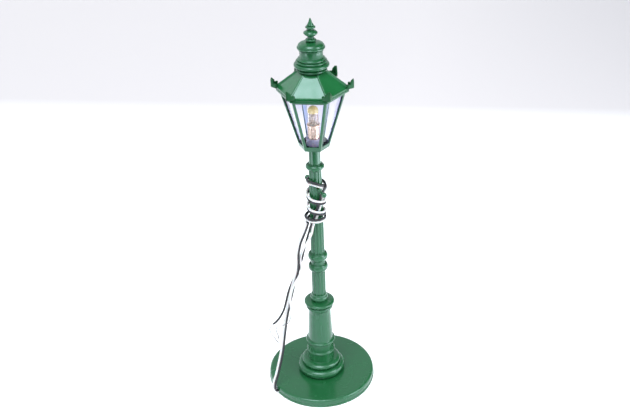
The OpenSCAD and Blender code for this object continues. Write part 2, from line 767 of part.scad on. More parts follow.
base_disc();
base_screws();
lead_clip();
pedestal();
pedestal_collar();
lower_shaft();
double_ring();
upper_shaft();
neck_ring();
neck_tube();
ladder_arms();
lantern_frame();
glazing();
socket_block();
lamp_socket();
socket_washer();
socket_contact();
socket_tag();
inner_lead_black();
inner_lead_white();
lead_black();
lead_white();
lead_winding();
bare_ends();
roof();
roof_crests();
vent_rings();
vent_drum();
vent_cap();
finial();
bulb_glass();
bulb_crown();
bulb_shell();
bulb_insulator();
bulb_bead();
bulb_filament();
bulb_contact();
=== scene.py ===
import bpy
import numpy as np
from mathutils import Matrix


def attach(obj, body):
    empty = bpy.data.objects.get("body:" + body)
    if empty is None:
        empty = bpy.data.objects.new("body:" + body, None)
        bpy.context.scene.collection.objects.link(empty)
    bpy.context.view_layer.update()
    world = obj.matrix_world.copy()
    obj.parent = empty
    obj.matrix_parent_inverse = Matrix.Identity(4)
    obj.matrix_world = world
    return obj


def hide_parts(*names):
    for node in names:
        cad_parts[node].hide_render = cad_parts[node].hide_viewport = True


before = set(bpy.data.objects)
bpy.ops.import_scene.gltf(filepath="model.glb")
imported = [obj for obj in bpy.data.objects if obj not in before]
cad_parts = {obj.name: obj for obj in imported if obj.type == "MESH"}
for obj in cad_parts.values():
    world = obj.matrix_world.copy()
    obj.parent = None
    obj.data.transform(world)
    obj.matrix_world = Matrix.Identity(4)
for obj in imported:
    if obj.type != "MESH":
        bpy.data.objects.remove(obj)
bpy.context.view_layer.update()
MM = 0.001


# Camera: a standard lens on a 36 mm sensor, a little to the right of the lamp's
# front and looking down on it from about 30 degrees.
camera_data = bpy.data.cameras.new("camera")
camera_data.sensor_width, camera_data.lens = 36.0, 50.35
camera_data.clip_start, camera_data.clip_end = 0.01, 50.0
camera = bpy.data.objects.new("camera", camera_data)
bpy.context.scene.collection.objects.link(camera)
right, up, ahead = (0.99358, 0.10925, -0.02951), (-0.02973, 0.50355, 0.86345), (-0.10919, 0.85703, -0.50357)
turned = Matrix([[right[i], up[i], -ahead[i]] for i in range(3)]).to_4x4()
camera.matrix_world = Matrix.Translation((0.0512457, -0.407968, 0.352855)) @ turned
bpy.context.scene.camera = camera


# Lead: two single-core wires, black and white, PVC on fine tinned strands. They
# leave the groove under the base, rise at the front left, make four and a half turns up
# the post, tuck down under their own turns and hang free with stripped ends.
def catmull(points, steps):
    """A curve through the points: between P1 and P2 it is half of 2 P1 + (P2 - P0) t
    + (2 P0 - 5 P1 + 4 P2 - P3) t^2 + (3 P1 - P0 - 3 P2 + P3) t^3."""
    points = np.asarray(points, float)
    padded = np.vstack([2 * points[0] - points[1], points, 2 * points[-1] - points[-2]])
    p0, p1, p2, p3 = (padded[i : len(padded) - 3 + i][:, None, :] for i in range(4))
    t = np.linspace(0, 1, steps, endpoint=False)[None, :, None]
    curve = 0.5 * (2 * p1 + (p2 - p0) * t + (2 * p0 - 5 * p1 + 4 * p2 - p3) * t**2
                   + (3 * p1 - p0 - 3 * p2 + p3) * t**3)
    return np.vstack([curve.reshape(-1, points.shape[1]), points[-1:]])


def wound(turns, azimuth=6.9):
    """Points round the post from rows of (angle, height, radius): x = r cos(-a), y = r sin(-a)."""
    turns = catmull(turns, 10)
    angle = np.radians(azimuth - turns[:, 0])
    return np.column_stack([turns[:, 2] * np.cos(angle), turns[:, 2] * np.sin(angle), turns[:, 1]])


riser_black = [(-23.5, -19.8, 1.5), (-24.5, -20.6, 1.8), (-25, -21, 3.4), (-24.9, -20.7, 6.4), (-24, -19.9, 10),
               (-23, -19.1, 13.4), (-21.6, -18.1, 19.5), (-19.7, -16.8, 29), (-18.4, -15.6, 39), (-17, -14.5, 49),
               (-15.2, -13.4, 58), (-13.2, -12.2, 67), (-11.7, -11.3, 73), (-10, -10.5, 79), (-9.5, -10.1, 85),
               (-9.2, -9.7, 91), (-8, -8.8, 97), (-6.2, -7.2, 101.5), (-4.9, -5.2, 104.6)]
riser_white = [(-24.3, -18.8, 1.5), (-25.3, -19.6, 1.9), (-26.1, -20.2, 3.7), (-26.1, -20.5, 6.8), (-25.2, -20, 10.3),
               (-24.2, -19.2, 13.7), (-22.8, -18.2, 19.8), (-20.9, -16.9, 29.3), (-19.6, -15.7, 39.3),
               (-18.2, -14.6, 49.3), (-16.4, -13.5, 58.3), (-14.4, -12.3, 67.3), (-12.9, -11.4, 73.3),
               (-11.2, -10.7, 79.3), (-10.7, -10.2, 85.3), (-10.4, -9.8, 91.3), (-9.2, -8.9, 97.3),
               (-7.4, -7.4, 101.8), (-6.1, -5.5, 104.8)]
turns_black = [(152, 106.4, 5.3), (200, 108, 4.8), (270, 109, 4.6), (360, 110.4, 4.8), (400, 110.2, 5.4),
               (450, 110.15, 5.8), (500, 110, 5.9), (540, 110, 6.1), (580, 110.8, 5.2), (605, 111.2, 4.7), (630, 111.4, 4.5),
               (720, 112.2, 4.7), (765, 112.8, 5.6), (819, 114.1, 5.75), (850, 114.8, 5.4), (884, 115.6, 4.9),
               (940, 116.8, 4.6), (990, 117.6, 4.6), (1080, 118.8, 4.8), (1125, 119.2, 5.7), (1177, 120.6, 5.7),
               (1236, 122, 4.9), (1290, 123.4, 4.6), (1350, 125.4, 4.6), (1440, 128.2, 4.6), (1477, 129.5, 4.6),
               (1540, 132.1, 4.6), (1604, 132.2, 4.6), (1710, 130.7, 4.6), (1780, 129.6, 5), (1815, 128.3, 5.55),
               (1840, 127, 5.4)]
turns_white = [(152, 106.4, 6.4), (200, 106.8, 5.3), (270, 107.8, 4.6), (360, 109.2, 4.8), (400, 109, 5.4),
               (450, 108.85, 5.8), (500, 108.7, 5.8), (540, 108.8, 5.7), (580, 109.6, 5.9), (605, 110.6, 6), (630, 111.6, 5.9),
               (720, 113.6, 4.8), (765, 114.2, 5.6), (819, 115.4, 5.75), (850, 116.1, 5.4), (884, 116.9, 4.9),
               (940, 118.1, 4.6), (990, 118.9, 4.6), (1080, 120, 4.8), (1125, 120.6, 5.7), (1177, 121.9, 5.7),
               (1236, 123.3, 4.9), (1290, 124.4, 5.4), (1350, 125.4, 5.9), (1410, 126.2, 5), (1440, 126.7, 4.35),
               (1465, 127.4, 4.25), (1527, 130.3, 4.3), (1589, 130.7, 4.4), (1710, 129.1, 4.6), (1770, 128.3, 5.4),
               (1795, 126.8, 5.9)]
tuck_black = [(3.2, -3.2, 124.6), (2.7, -3.4, 122), (1.25, -4.15, 117.4), (-0.65, -4.35, 111.1)]
end_black = [(-2.6, -4.7, 106.4), (-3.7, -5.4, 102.6), (-5, -6.2, 98), (-6.5, -6.9, 92), (-7.8, -7.7, 86.5),
             (-10, -8.7, 79), (-13.1, -9.8, 73.5), (-15.6, -11.5, 67), (-17.1, -13, 61), (-18.3, -14.5, 56.5),
             (-20.1, -16.2, 53), (-22.2, -17.9, 50.6), (-24.2, -19.2, 49.4)]
tuck_white = [(4.5, -0.3, 124), (3.8, -2.1, 121.6), (2.45, -3.6, 116.8), (0.6, -4.35, 111.1)]
end_white = [(-1.3, -5, 106.4), (-2.2, -6.1, 102), (-3.9, -7.3, 98.4), (-5.8, -8.1, 95.2), (-7.3, -8.5, 92),
             (-8.6, -9, 87), (-8, -10.5, 82), (-9.4, -12.2, 77.5), (-11.4, -12.8, 74), (-13.4, -13.5, 69),
             (-14.4, -14.3, 64), (-14.3, -14.9, 59), (-14.1, -14.8, 55), (-14.7, -14.8, 51)]
bare_black = [(-24.2, -19.2, 49.4), (-25.8, -20.7, 47.6), (-25.7, -20.7, 44.8), (-23.7, -19.4, 39.7),
              (-21.9, -18.4, 35.4)]
bare_white = [(-14.7, -14.8, 51), (-15.9, -16.3, 48.6), (-18.6, -17.9, 47.9), (-21.6, -18.9, 47.6),
              (-22.8, -18.9, 45.2), (-22, -18.4, 41.5), (-21.5, -18.2, 38.4)]


def new_material(name, colour, roughness, **sockets):
    """A material and its Principled shader. Sockets are set by name, with _ for a space."""
    material = bpy.data.materials.new(name)
    material.use_nodes = True
    material.diffuse_color = (*colour, 1)
    shader = material.node_tree.nodes["Principled BSDF"]
    shader.inputs["Base Color"].default_value = (*colour, 1)
    shader.inputs["Roughness"].default_value = roughness
    for socket, value in sockets.items():
        shader.inputs[socket.replace("_", " ")].default_value = value
    return material, shader


def new_group(name, inputs, outputs):
    """A shader node group with named sockets, its nodes' maker, and its input and output nodes."""
    group = bpy.data.node_groups.new(name, "ShaderNodeTree")
    kinds = {"vector": "NodeSocketVector", "colour": "NodeSocketColor", "number": "NodeSocketFloat"}
    for socket, (kind, value) in inputs.items():
        made = group.interface.new_socket(socket, in_out="INPUT", socket_type=kinds[kind])
        if value is not None:
            made.default_value = value
    for socket, kind in outputs.items():
        group.interface.new_socket(socket, in_out="OUTPUT", socket_type=kinds[kind])
    return group, group.nodes.new("NodeGroupInput").outputs, group.nodes.new("NodeGroupOutput").inputs


def node(tree, kind, links=None, **settings):
    """A node of that kind. Settings are its own properties; links maps its sockets to outputs or values."""
    made = tree.nodes.new(kind)
    for name, value in settings.items():
        setattr(made, name, value)
    for socket, source in (links or {}).items():
        if isinstance(source, bpy.types.NodeSocket):
            tree.links.new(source, made.inputs[socket])
        else:
            made.inputs[socket].default_value = source
    return made


def noise(tree, place, scale, detail, **more):
    """The strength of a noise at a place."""
    return node(tree, "ShaderNodeTexNoise", {"Vector": place, "Scale": scale, "Detail": detail, **more}).outputs[0]


def sum_up(tree, operation, *values):
    """One step of arithmetic on values or outputs."""
    return node(tree, "ShaderNodeMath", dict(enumerate(values)), operation=operation).outputs[0]


def mixed(tree, factor, a, b, blend="MIX"):
    """A colour mix: a where factor is 0, b where it is 1."""
    return node(tree, "ShaderNodeMix", {0: factor, 6: a, 7: b}, data_type="RGBA", blend_type=blend).outputs[2]


def ramped(tree, value, low, high, out_low=0.0, out_high=1.0):
    """A value carried from low..high to out_low..out_high and held at both ends."""
    return node(tree, "ShaderNodeMapRange", {0: value, 1: low, 2: high, 3: out_low, 4: out_high}).outputs[0]


# Drawn PVC: long soft streaks, a dusting of lint, and the faint ripple of the die.
extruded, given, gives = new_group(
    "extruded skin",
    {"Place": ("vector", None), "Colour": ("colour", (0.5, 0.5, 0.5, 1)), "Scuff": ("colour", (0.6, 0.6, 0.6, 1)),
     "Scuffing": ("number", 0.2), "Roughness": ("number", 0.4), "Ripple": ("number", 0.1)},
    {"Colour": "colour", "Roughness": "number", "Normal": "vector"})
soft = noise(extruded, given["Place"], 420.0, 4.0)
fine = noise(extruded, given["Place"], 2600.0, 3.0)
amount = sum_up(extruded, "MULTIPLY", ramped(extruded, soft, 0.52, 0.75), given["Scuffing"])
extruded.links.new(mixed(extruded, amount, given["Colour"], given["Scuff"]), gives["Colour"])
extruded.links.new(sum_up(extruded, "ADD", given["Roughness"], ramped(extruded, fine, 0.3, 0.7, -0.06, 0.1)),
                   gives["Roughness"])
ripple = sum_up(extruded, "MULTIPLY", fine, given["Ripple"])
extruded.links.new(node(extruded, "ShaderNodeBump", {"Strength": 0.5, "Distance": 0.00003, "Height": ripple}).outputs[0],
                   gives["Normal"])


def object_place(material, scale=(1, 1, 1)):
    """The point of the surface in the object's own coordinates, stretched by scale."""
    tree = material.node_tree
    place = node(tree, "ShaderNodeTexCoord").outputs["Object"]
    return node(tree, "ShaderNodeMapping", {"Vector": place, "Scale": scale}).outputs[0]


def dressed(material, shader, group, place, outputs=("Colour", "Roughness", "Normal"), **values):
    """Places a group in a material, sets its values, and links its outputs to the shader."""
    tree = material.node_tree
    placed = node(tree, "ShaderNodeGroup", node_tree=group)
    tree.links.new(place, placed.inputs["Place"])
    for socket, value in values.items():
        placed.inputs[socket.replace("_", " ")].default_value = value
    names = {"Colour": "Base Color", "Roughness": "Roughness", "Normal": "Normal", "Coat": "Coat Weight"}
    for output in outputs:
        tree.links.new(placed.outputs[output], shader.inputs[names[output]])
    return material


def plain_stuff(name, colour, scuff, scuffing, roughness, ripple, length=1.0, **sockets):
    """A plain material of one colour, scuffed here and there; length under 1 draws its marks out along Z."""
    material, shader = new_material(name, colour, roughness, **sockets)
    return dressed(material, shader, extruded, object_place(material, (1, 1, length)), Colour=(*colour, 1),
                   Scuff=(*scuff, 1), Scuffing=scuffing, Roughness=roughness, Ripple=ripple)


def redress(material, *names):
    """Gives the CAD nodes that stay as they are their material."""
    for name in names:
        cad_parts[name].data.materials.clear()
        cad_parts[name].data.materials.append(material)


black_pvc = plain_stuff("black PVC", (0.008, 0.008, 0.012), (0.05, 0.05, 0.06), 0.35, 0.36, 0.8, 0.35,
                        Specular_IOR_Level=0.45)
white_pvc = plain_stuff("white PVC", (0.52, 0.52, 0.53), (0.4, 0.4, 0.39), 0.25, 0.4, 0.8, 0.35,
                        Subsurface_Weight=0.15, Subsurface_Scale=0.0004)


def wire(name, path, diameter, material, body):
    """A round wire: one open spline of straight spans through a path in millimetres."""
    data = bpy.data.curves.new(name, "CURVE")
    data.dimensions, data.bevel_depth, data.bevel_resolution = "3D", diameter * MM / 2, 4
    data.use_fill_caps = True
    spline = data.splines.new("POLY")
    spline.points.add(len(path) - 1)
    spline.points.foreach_set("co", np.column_stack([np.asarray(path) * MM, np.ones(len(path))]).ravel())
    data.materials.append(material)
    made = bpy.data.objects.new(name, data)
    bpy.context.scene.collection.objects.link(made)
    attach(made, body)
    return made


def conductor(riser, turns, tuck, end):
    """One wire from its groove to its stripped end: the riser, the turns, and the tail carried as one curve."""
    round_post = wound(turns)
    rise = catmull(list(map(tuple, riser)) + [tuple(round_post[0])], 6)[:-1]
    tail = catmull([tuple(round_post[-1])] + list(tuck) + list(end), 6)[1:]
    return np.vstack([rise, round_post, tail])


path_black = conductor(riser_black, turns_black, tuck_black, end_black)
path_white = conductor(riser_white, turns_white, tuck_white, end_white)
lead_black = wire("lead_black_wire", path_black, 1.2, black_pvc, "post")
lead_white = wire("lead_white_wire", path_white, 1.2, white_pvc, "post")
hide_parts("lead_black", "lead_winding")
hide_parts("lead_white", "lead_winding")


def swept(path, offsets, radius, sides=8):
    """A tube of that radius along a path moved by offsets: ring i is the point plus r (cos a u + sin a v),
    with u and v square to the path's direction."""
    line = np.asarray(path) + offsets
    along = np.gradient(line, axis=0)
    along /= np.linalg.norm(along, axis=1)[:, None]
    u = np.cross(along, [0.31, 0.22, 0.92])
    u /= np.linalg.norm(u, axis=1)[:, None]
    v = np.cross(along, u)
    a = np.linspace(0, 2 * np.pi, sides, endpoint=False)
    round_it = np.cos(a)[None, :, None] * u[:, None] + np.sin(a)[None, :, None] * v[:, None]
    return line[:, None] + radius * round_it


def tube_faces(rings, sides, start=0):
    """Quads round a tube and a cap at each end, with every face outwards."""
    i, j = np.meshgrid(np.arange(rings - 1), np.arange(sides), indexing="ij")
    a, b = start + i * sides + j, start + i * sides + (j + 1) % sides
    quads = np.stack([a, b, b + sides, a + sides], axis=-1).reshape(-1, 4).tolist()
    last = start + (rings - 1) * sides
    return quads + [list(range(start + sides - 1, start - 1, -1)), list(range(last, last + sides))]


def add_mesh(name, points, faces, material, body, slot, *nodes, smooth=35):
    """A mesh object from points in millimetres, riding a body and standing for CAD nodes."""
    data = bpy.data.meshes.new(name)
    data.from_pydata((np.asarray(points).reshape(-1, 3) * MM).tolist(), [], faces)
    data.update()
    data.materials.append(material)
    data.shade_smooth()
    if smooth:
        data.set_sharp_from_angle(angle=np.radians(smooth))
    made = bpy.data.objects.new(name, data)
    bpy.context.scene.collection.objects.link(made)
    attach(made, body)
    if nodes:
        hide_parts(*nodes)
    return made


tinned = plain_stuff("tinned strands", (0.2, 0.2, 0.22), (0.3, 0.27, 0.24), 0.5, 0.3, 0.6, 0.3, Metallic=1.0)


def strands(route, count=7, spread=0.17, twist=1.1):
    """Fine strands, one along a centre line and the rest round it: strand k sits at spread (cos p, sin p), with
    p = k 2 pi / (n - 1) + twist s, and they part a little towards the tip."""
    centre = catmull(route, 8)
    s = np.concatenate([[0], np.cumsum(np.linalg.norm(np.diff(centre, axis=0), axis=1))])
    points, faces = [], []
    for k in range(count):
        phase = 2 * np.pi * k / (count - 1) + twist * s
        size = 0 if k == count - 1 else spread * (1 + 0.8 * (s / s[-1]) ** 4)
        offsets = np.column_stack([size * np.cos(phase), size * np.sin(phase), 0 * s])
        faces += tube_faces(len(centre), 6, sum(len(p) for p in points))
        points.append(swept(centre, offsets, 0.085, 6).reshape(-1, 3))
    return np.vstack(points), faces


for name, route in (("bare_end_black", bare_black), ("bare_end_white", bare_white)):
    add_mesh(name, *strands(route), tinned, "post", "tinned_copper", "bare_ends")
redress(black_pvc, "inner_lead_black")
redress(white_pvc, "inner_lead_white")


# Base: one moulded disc of glossy green plastic with a rounded rim, a thin band
# round its foot, and a groove and a recess on its underside.
moulded, given, gives = new_group(
    "moulded gloss",
    {"Place": ("vector", None), "Colour": ("colour", (0.02, 0.1, 0.04, 1)), "Flow": ("number", 0.3),
     "Roughness": ("number", 0.25), "Grain": ("number", 1.0), "Dust": ("number", 0.3)},
    {"Colour": "colour", "Roughness": "number", "Normal": "vector", "Coat": "number"})
cloud = noise(moulded, given["Place"], 90.0, 4.0, Distortion=1.2)
peel = noise(moulded, given["Place"], 1500.0, 2.0)
speck = node(moulded, "ShaderNodeTexVoronoi", {"Vector": given["Place"], "Scale": 700.0}).outputs[0]
lint = sum_up(moulded, "MULTIPLY", ramped(moulded, speck, 0.1, 0.04), given["Dust"])
lighter = mixed(moulded, 1.0, given["Colour"], (1.35, 1.25, 1.35, 1), "MULTIPLY")
flow = sum_up(moulded, "MULTIPLY", ramped(moulded, cloud, 0.4, 0.7), given["Flow"])
body_colour = mixed(moulded, flow, given["Colour"], lighter)
moulded.links.new(mixed(moulded, lint, body_colour, (0.12, 0.2, 0.15, 1)), gives["Colour"])
moulded.links.new(sum_up(moulded, "ADD", given["Roughness"], ramped(moulded, cloud, 0.3, 0.7, -0.05, 0.1)),
                  gives["Roughness"])
height = sum_up(moulded, "MULTIPLY_ADD", peel, given["Grain"], cloud)
moulded.links.new(node(moulded, "ShaderNodeBump", {"Strength": 0.35, "Distance": 0.00006, "Height": height}).outputs[0],
                  gives["Normal"])
moulded.links.new(ramped(moulded, cloud, 0.3, 0.8, 0.35, 0.15), gives["Coat"])
GREEN = (0.0074, 0.069, 0.0205)


def green_plastic(name, stretch=(1, 1, 1), flow=0.3, roughness=0.24, grain=1.0, dust=0.3, colour=GREEN):
    """The lamp's green moulding plastic, with flow marks stretched along a piece."""
    material, shader = new_material(name, colour, roughness, Specular_IOR_Level=0.5, Specular_Tint=(0.72, 0.95, 1.0, 1),
                                    Coat_Roughness=0.12, Coat_Tint=(0.8, 0.97, 1.0, 1))
    outputs = ("Colour", "Roughness", "Normal", "Coat")
    return dressed(material, shader, moulded, object_place(material, stretch), outputs, Colour=(*colour, 1),
                   Flow=flow, Roughness=roughness, Grain=grain, Dust=dust)


def eased(outline, steps=5):
    """A closed outline of rows (r, z, f) with each corner C rounded by the curve
    (1-t)^2 A + 2t(1-t) C + t^2 B, where A and B lie f before and after it, and a support point outside each."""
    outline = np.asarray(outline, float)
    corner, ease = outline[:, :2], outline[:, 2]
    back, on = np.roll(corner, 1, axis=0) - corner, np.roll(corner, -1, axis=0) - corner
    length_back, length_on = np.linalg.norm(back, axis=1), np.linalg.norm(on, axis=1)
    reach = np.maximum(np.minimum(ease, 0.4 * np.minimum(length_back, length_on)), 1e-4)
    back, on = back / length_back[:, None], on / length_on[:, None]
    near = np.minimum(reach * 1.35 + 0.02, 0.46 * np.minimum(length_back, length_on))
    t = np.linspace(0, 1, steps)[None, :, None]
    a, b, c = (corner + reach[:, None] * back)[:, None], (corner + reach[:, None] * on)[:, None], corner[:, None]
    bend = (1 - t) ** 2 * a + 2 * t * (1 - t) * c + t**2 * b
    before, after = (corner + near[:, None] * back)[:, None], (corner + near[:, None] * on)[:, None]
    return np.concatenate([before, bend, after], axis=1).reshape(-1, 2)


def bead(r_in, r_out, z, h, steps=12):
    """A rounded swelling: r = r_in + (r_out - r_in) cos a, z rising by h (1 + sin a) / 2, a from -90 to 90 degrees."""
    a = np.linspace(-np.pi / 2, np.pi / 2, steps + 1)
    return [(r_in + (r_out - r_in) * c, z + h * (1 + s) / 2, 0.0) for c, s in zip(np.cos(a), np.sin(a))]


def turned_points(profile, swell=None, count=160):
    """A closed profile turned about Z: x = r cos a, y = r sin a. swell(a, r, z) is added to r, if given."""
    a = np.linspace(0, 2 * np.pi, count, endpoint=False)[None]
    r, z = profile[:, :1], profile[:, 1:2]
    r = r + (swell(a, r, z) if swell else 0 * a)
    return np.stack([r * np.cos(a), r * np.sin(a), z + 0 * a], axis=-1)


def ring_faces(rows, columns, closed=True, start=0):
    """Quads of a grid whose columns wrap, and whose rows wrap too where it is closed. They face outwards
    where the profile runs up its outer side."""
    i, j = np.meshgrid(np.arange(rows if closed else rows - 1), np.arange(columns), indexing="ij")
    a, b = start + i * columns + j, start + i * columns + (j + 1) % columns
    up_a, up_b = start + (i + 1) % rows * columns + j, start + (i + 1) % rows * columns + (j + 1) % columns
    return np.stack([a, b, up_b, up_a], axis=-1).reshape(-1, 4).tolist()


def turned_piece(name, outline, material, body, slot, *nodes, swell=None, count=160, smooth=40):
    """A piece turned from a closed outline of rows (r, z, f), listed anticlockwise from its lowest inner corner."""
    profile = eased(outline)
    points = turned_points(profile, swell, count)
    return add_mesh(name, points, ring_faces(len(profile), count), material, body, slot, *nodes, smooth=smooth)


base_plastic = green_plastic("green, base disc", (1, 1, 1), flow=0.35, roughness=0.2, dust=0.6)
base_outline = [(2.75, 3.3, 0.1), (6.6, 3.3, 0.15), (6.6, 0, 0.2), (31.2, 0, 0.15), (31.2, 1.2, 0.12),
                (30.95, 1.25, 0.05), (30.95, 4.7, 1.5), (2.75, 4.7, 0.05)]
turned_piece("base", base_outline, base_plastic, "post", "green_plastic", count=256)


def box_points(low, high):
    """The eight corners of a box and its six outward faces."""
    x, y, z = (np.array([a, b]) for a, b in zip(low, high))
    points = np.array([(x[i], y[j], z[k]) for k in (0, 1) for j in (0, 1) for i in (0, 1)])
    return points, [[0, 2, 3, 1], [4, 5, 7, 6], [0, 1, 5, 4], [1, 3, 7, 5], [3, 2, 6, 7], [2, 0, 4, 6]]


def spun(points, degrees):
    """Points turned about Z: x' = x cos a - y sin a, y' = x sin a + y cos a."""
    a = np.radians(degrees)
    points = np.asarray(points, float)
    x, y = points[..., 0], points[..., 1]
    return np.stack([x * np.cos(a) - y * np.sin(a), x * np.sin(a) + y * np.cos(a), points[..., 2]], axis=-1)


def cut_away(made, cutters, smooth=35):
    """Takes closed shapes out of a piece, as a cutter would, and leaves the plain mesh."""
    for points, faces in cutters:
        data = bpy.data.meshes.new("cutter")
        data.from_pydata((np.asarray(points).reshape(-1, 3) * MM).tolist(), [], faces)
        cutter = bpy.data.objects.new("cutter", data)
        bpy.context.scene.collection.objects.link(cutter)
        modifier = made.modifiers.new("cut", "BOOLEAN")
        modifier.operation, modifier.object, modifier.solver = "DIFFERENCE", cutter, "EXACT"
        whole = bpy.data.meshes.new_from_object(made.evaluated_get(bpy.context.evaluated_depsgraph_get()))
        made.modifiers.remove(modifier)
        old, made.data = made.data, whole
        bpy.data.meshes.remove(old)
        bpy.data.objects.remove(cutter)
        bpy.data.meshes.remove(data)
    made.data.shade_smooth()
    made.data.set_sharp_from_angle(angle=np.radians(smooth))


def rod_points(x, y, radius, z0, z1, sides=32):
    """A straight rod about (x, y): two rings and its faces."""
    a = np.linspace(0, 2 * np.pi, sides, endpoint=False)
    ring = np.column_stack([x + radius * np.cos(a), y + radius * np.sin(a), 0 * a])
    return np.vstack([ring + [0, 0, z0], ring + [0, 0, z1]]), tube_faces(2, sides)


base = bpy.data.objects["base"]
groove = box_points((4, -1.7, -1), (62, 1.7, 2.2))
pocket = box_points((16.45, -3.55, -1), (21.55, 3.55, 0.85))
hole = rod_points(9.4, 0, 1.85, -1, 1.6)
holes = [(spun(hole[0], 30 + 120 * k), hole[1]) for k in range(3)]
cut_away(base, [(spun(groove[0], 219), groove[1]), (spun(pocket[0], 219), pocket[1]), *holes])
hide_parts("base_disc")

zinc = plain_stuff("zinc plate", (0.5, 0.5, 0.49), (0.3, 0.28, 0.24), 0.6, 0.35, 1.0, Metallic=1.0)
redress(zinc, "base_screws")
black_satin = plain_stuff("black satin plastic", (0.012, 0.012, 0.014), (0.05, 0.05, 0.05), 0.3, 0.45, 1.0)
redress(black_satin, "lead_clip")


# Pedestal: a turned-looking moulding that stands on the disc, with a stepped foot,
# a banded drum and a long tapered body, and the flanged collar that plugs into it.
pedestal_plastic = green_plastic("green, pedestal", (1, 1, 0.3), flow=0.4, roughness=0.23)
z = 4.7
foot = bead(11.4, 13.7, z, 5) + bead(8.8, 11.3, z + 5, 3.5)
drum = ([(7.75, z + 8.6, 0.1)] + bead(7.7, 8.2, z + 13.8, 1.4) + [(7.45, z + 15.5, 0.05), (7.45, z + 20.6, 0.05)]
        + bead(7.45, 8.45, z + 20.8, 1.7) + [(7.2, z + 22.8, 0.08)])
turned_piece("pedestal_moulding", [(1.7, 3.35, 0.1), (2.68, 3.35, 0.15), (2.68, z, 0.02)] + foot + drum
             + [(6.35, 46, 0.03), (2.75, 46, 0.05), (2.75, 42.95, 0.05), (1.7, 42.95, 0.05)],
             pedestal_plastic, "post", "green_plastic", "pedestal", count=192)

z, u = 46.0, 0.129
b = np.radians(np.linspace(-30, 60, 9))
lip = [(7.8 + 0.8 * np.cos(t), z + 56 * u + 0.8 * np.sin(t), 0.0) for t in b]
turned_piece("collar_moulding", [(1.7, 43, 0.05), (2.68, 43, 0.15), (2.68, z, 0.02), (6.35, z, 0.03),
             (6.5, z + 20 * u, 0.3), (6.75, z + 24 * u, 0.1)] + bead(6.95, 7.7, z + 25 * u, 16 * u)
             + [(7.1, z + 43 * u, 0.05), (7.9, z + 49 * u, 0.1)] + lip + [(7.4, z + 64 * u, 0.05), (4.35, z + 66 * u, 0.03)] + bead(4.35, 5.0, z + 68 * u, 22 * u)
             + [(4.2, z + 97 * u, 0.03), (4.2, 58.9, 0.06), (2.75, 58.9, 0.03), (2.75, 55.85, 0.05), (1.7, 55.85, 0.05)],
             pedestal_plastic, "post", "green_plastic", "pedestal_collar", count=192)


# Shaft: two lengths of moulded column with twelve shallow flutes, the upper one
# tapered. Each has a plain spigot that pushes into the next piece.
def fluting(a, r, z, flutes=12, cutter=0.9, depth=0.35):
    """How far a flute lies below the round: the cutter's circle about c = R - depth + cutter gives
    r' = c cos b - sqrt(cutter^2 - c^2 sin^2 b) at b from the flute's middle, kept where it is inside R."""
    c = r - depth + cutter
    b = a * flutes / (2 * np.pi) % 1 - 0.5
    b = b * 2 * np.pi / flutes
    under = np.maximum(cutter**2 - (c * np.sin(b)) ** 2, 0)
    cut = np.where(c * np.abs(np.sin(b)) < cutter, c * np.cos(b) - np.sqrt(under), r)
    gap = np.minimum(cut - r, 0)
    return np.where(r > 3.2, -np.sqrt(gap**2 + 0.0004) + 0.02, 0)


def flute_angle(a, r, z):
    """The same flutes turned so that one lies at half a pitch from +X."""
    return fluting(a - np.pi / 12, r, z)


shaft_plastic = green_plastic("green, shaft", (1, 1, 0.2), flow=0.45, roughness=0.22)
turned_piece("lower_shaft_moulding", [(1.7, 55.95, 0.1), (2.68, 55.95, 0.15), (2.68, 58.95, 0.02), (3.88, 58.95, 0.03),
             (3.9, 66, 0.01), (3.88, 74.5, 0.03), (2.68, 74.55, 0.02), (2.68, 77.45, 0.15), (1.7, 77.45, 0.1)],
             shaft_plastic, "post", "green_plastic", "lower_shaft", swell=flute_angle, count=384)
shaft_run = [(3.9 - 0.5 * t, 86.55 + 51.4 * t, 0.01) for t in np.linspace(0, 1, 9)]
turned_piece("upper_shaft_moulding", [(1.7, 83.55, 0.1), (2.68, 83.55, 0.15), (2.68, 86.55, 0.02)] + shaft_run
             + [(2.24, 137.97, 0.02), (2.24, 139.8, 0.1), (1.7, 139.8, 0.1)],
             shaft_plastic, "post", "green_plastic", "upper_shaft", swell=flute_angle, count=384)


# Rings: a pair of bowl-shaped mouldings where the shaft's two lengths meet, one more
# at the neck, and the plain tube that carries the lantern.
ring_plastic = green_plastic("green, rings", (1, 1, 1), flow=0.3, roughness=0.22)


def bowl(z, r_in, r_out, h):
    """A bowl: a rounded swelling with a shallow dished top that falls back to the shaft."""
    return ([(r_in, z, 0.1)] + bead(r_in + 0.2, r_out, z + 0.6, h - 0.8)[:-3]
            + [(r_out - 0.75, z + h - 0.35, 0.1), (r_in + 0.35, z + h - 0.75, 0.15), (r_in, z + h, 0.05)])


turned_piece("double_ring_moulding", [(2.75, 74.5, 0.05)] + bowl(74.5, 3.95, 5.5, 5) + bowl(81.5, 3.95, 5.5, 5)
             + [(2.75, 86.5, 0.05), (2.75, 83.45, 0.05), (1.7, 83.45, 0.03), (1.7, 77.55, 0.03), (2.75, 77.55, 0.05)],
             ring_plastic, "post", "green_plastic", "double_ring")
turned_piece("neck_ring_moulding", [(2.3, 138, 0.05)] + bowl(138, 3.3, 5.0, 3.7)[:-1]
             + [(3.45, 141.7, 0.05), (2.3, 141.7, 0.05)], ring_plastic, "post", "green_plastic", "neck_ring")
turned_piece("neck_moulding", [(1.7, 139.9, 0.1), (2.24, 139.9, 0.1), (2.24, 141.75, 0.02), (3.15, 141.75, 0.05),
             (3.15, 151.5, 0.03), (2.24, 151.55, 0.02), (2.24, 152.98, 0.03), (1.7, 152.98, 0.03)],
             shaft_plastic, "post", "green_plastic", "neck_tube")


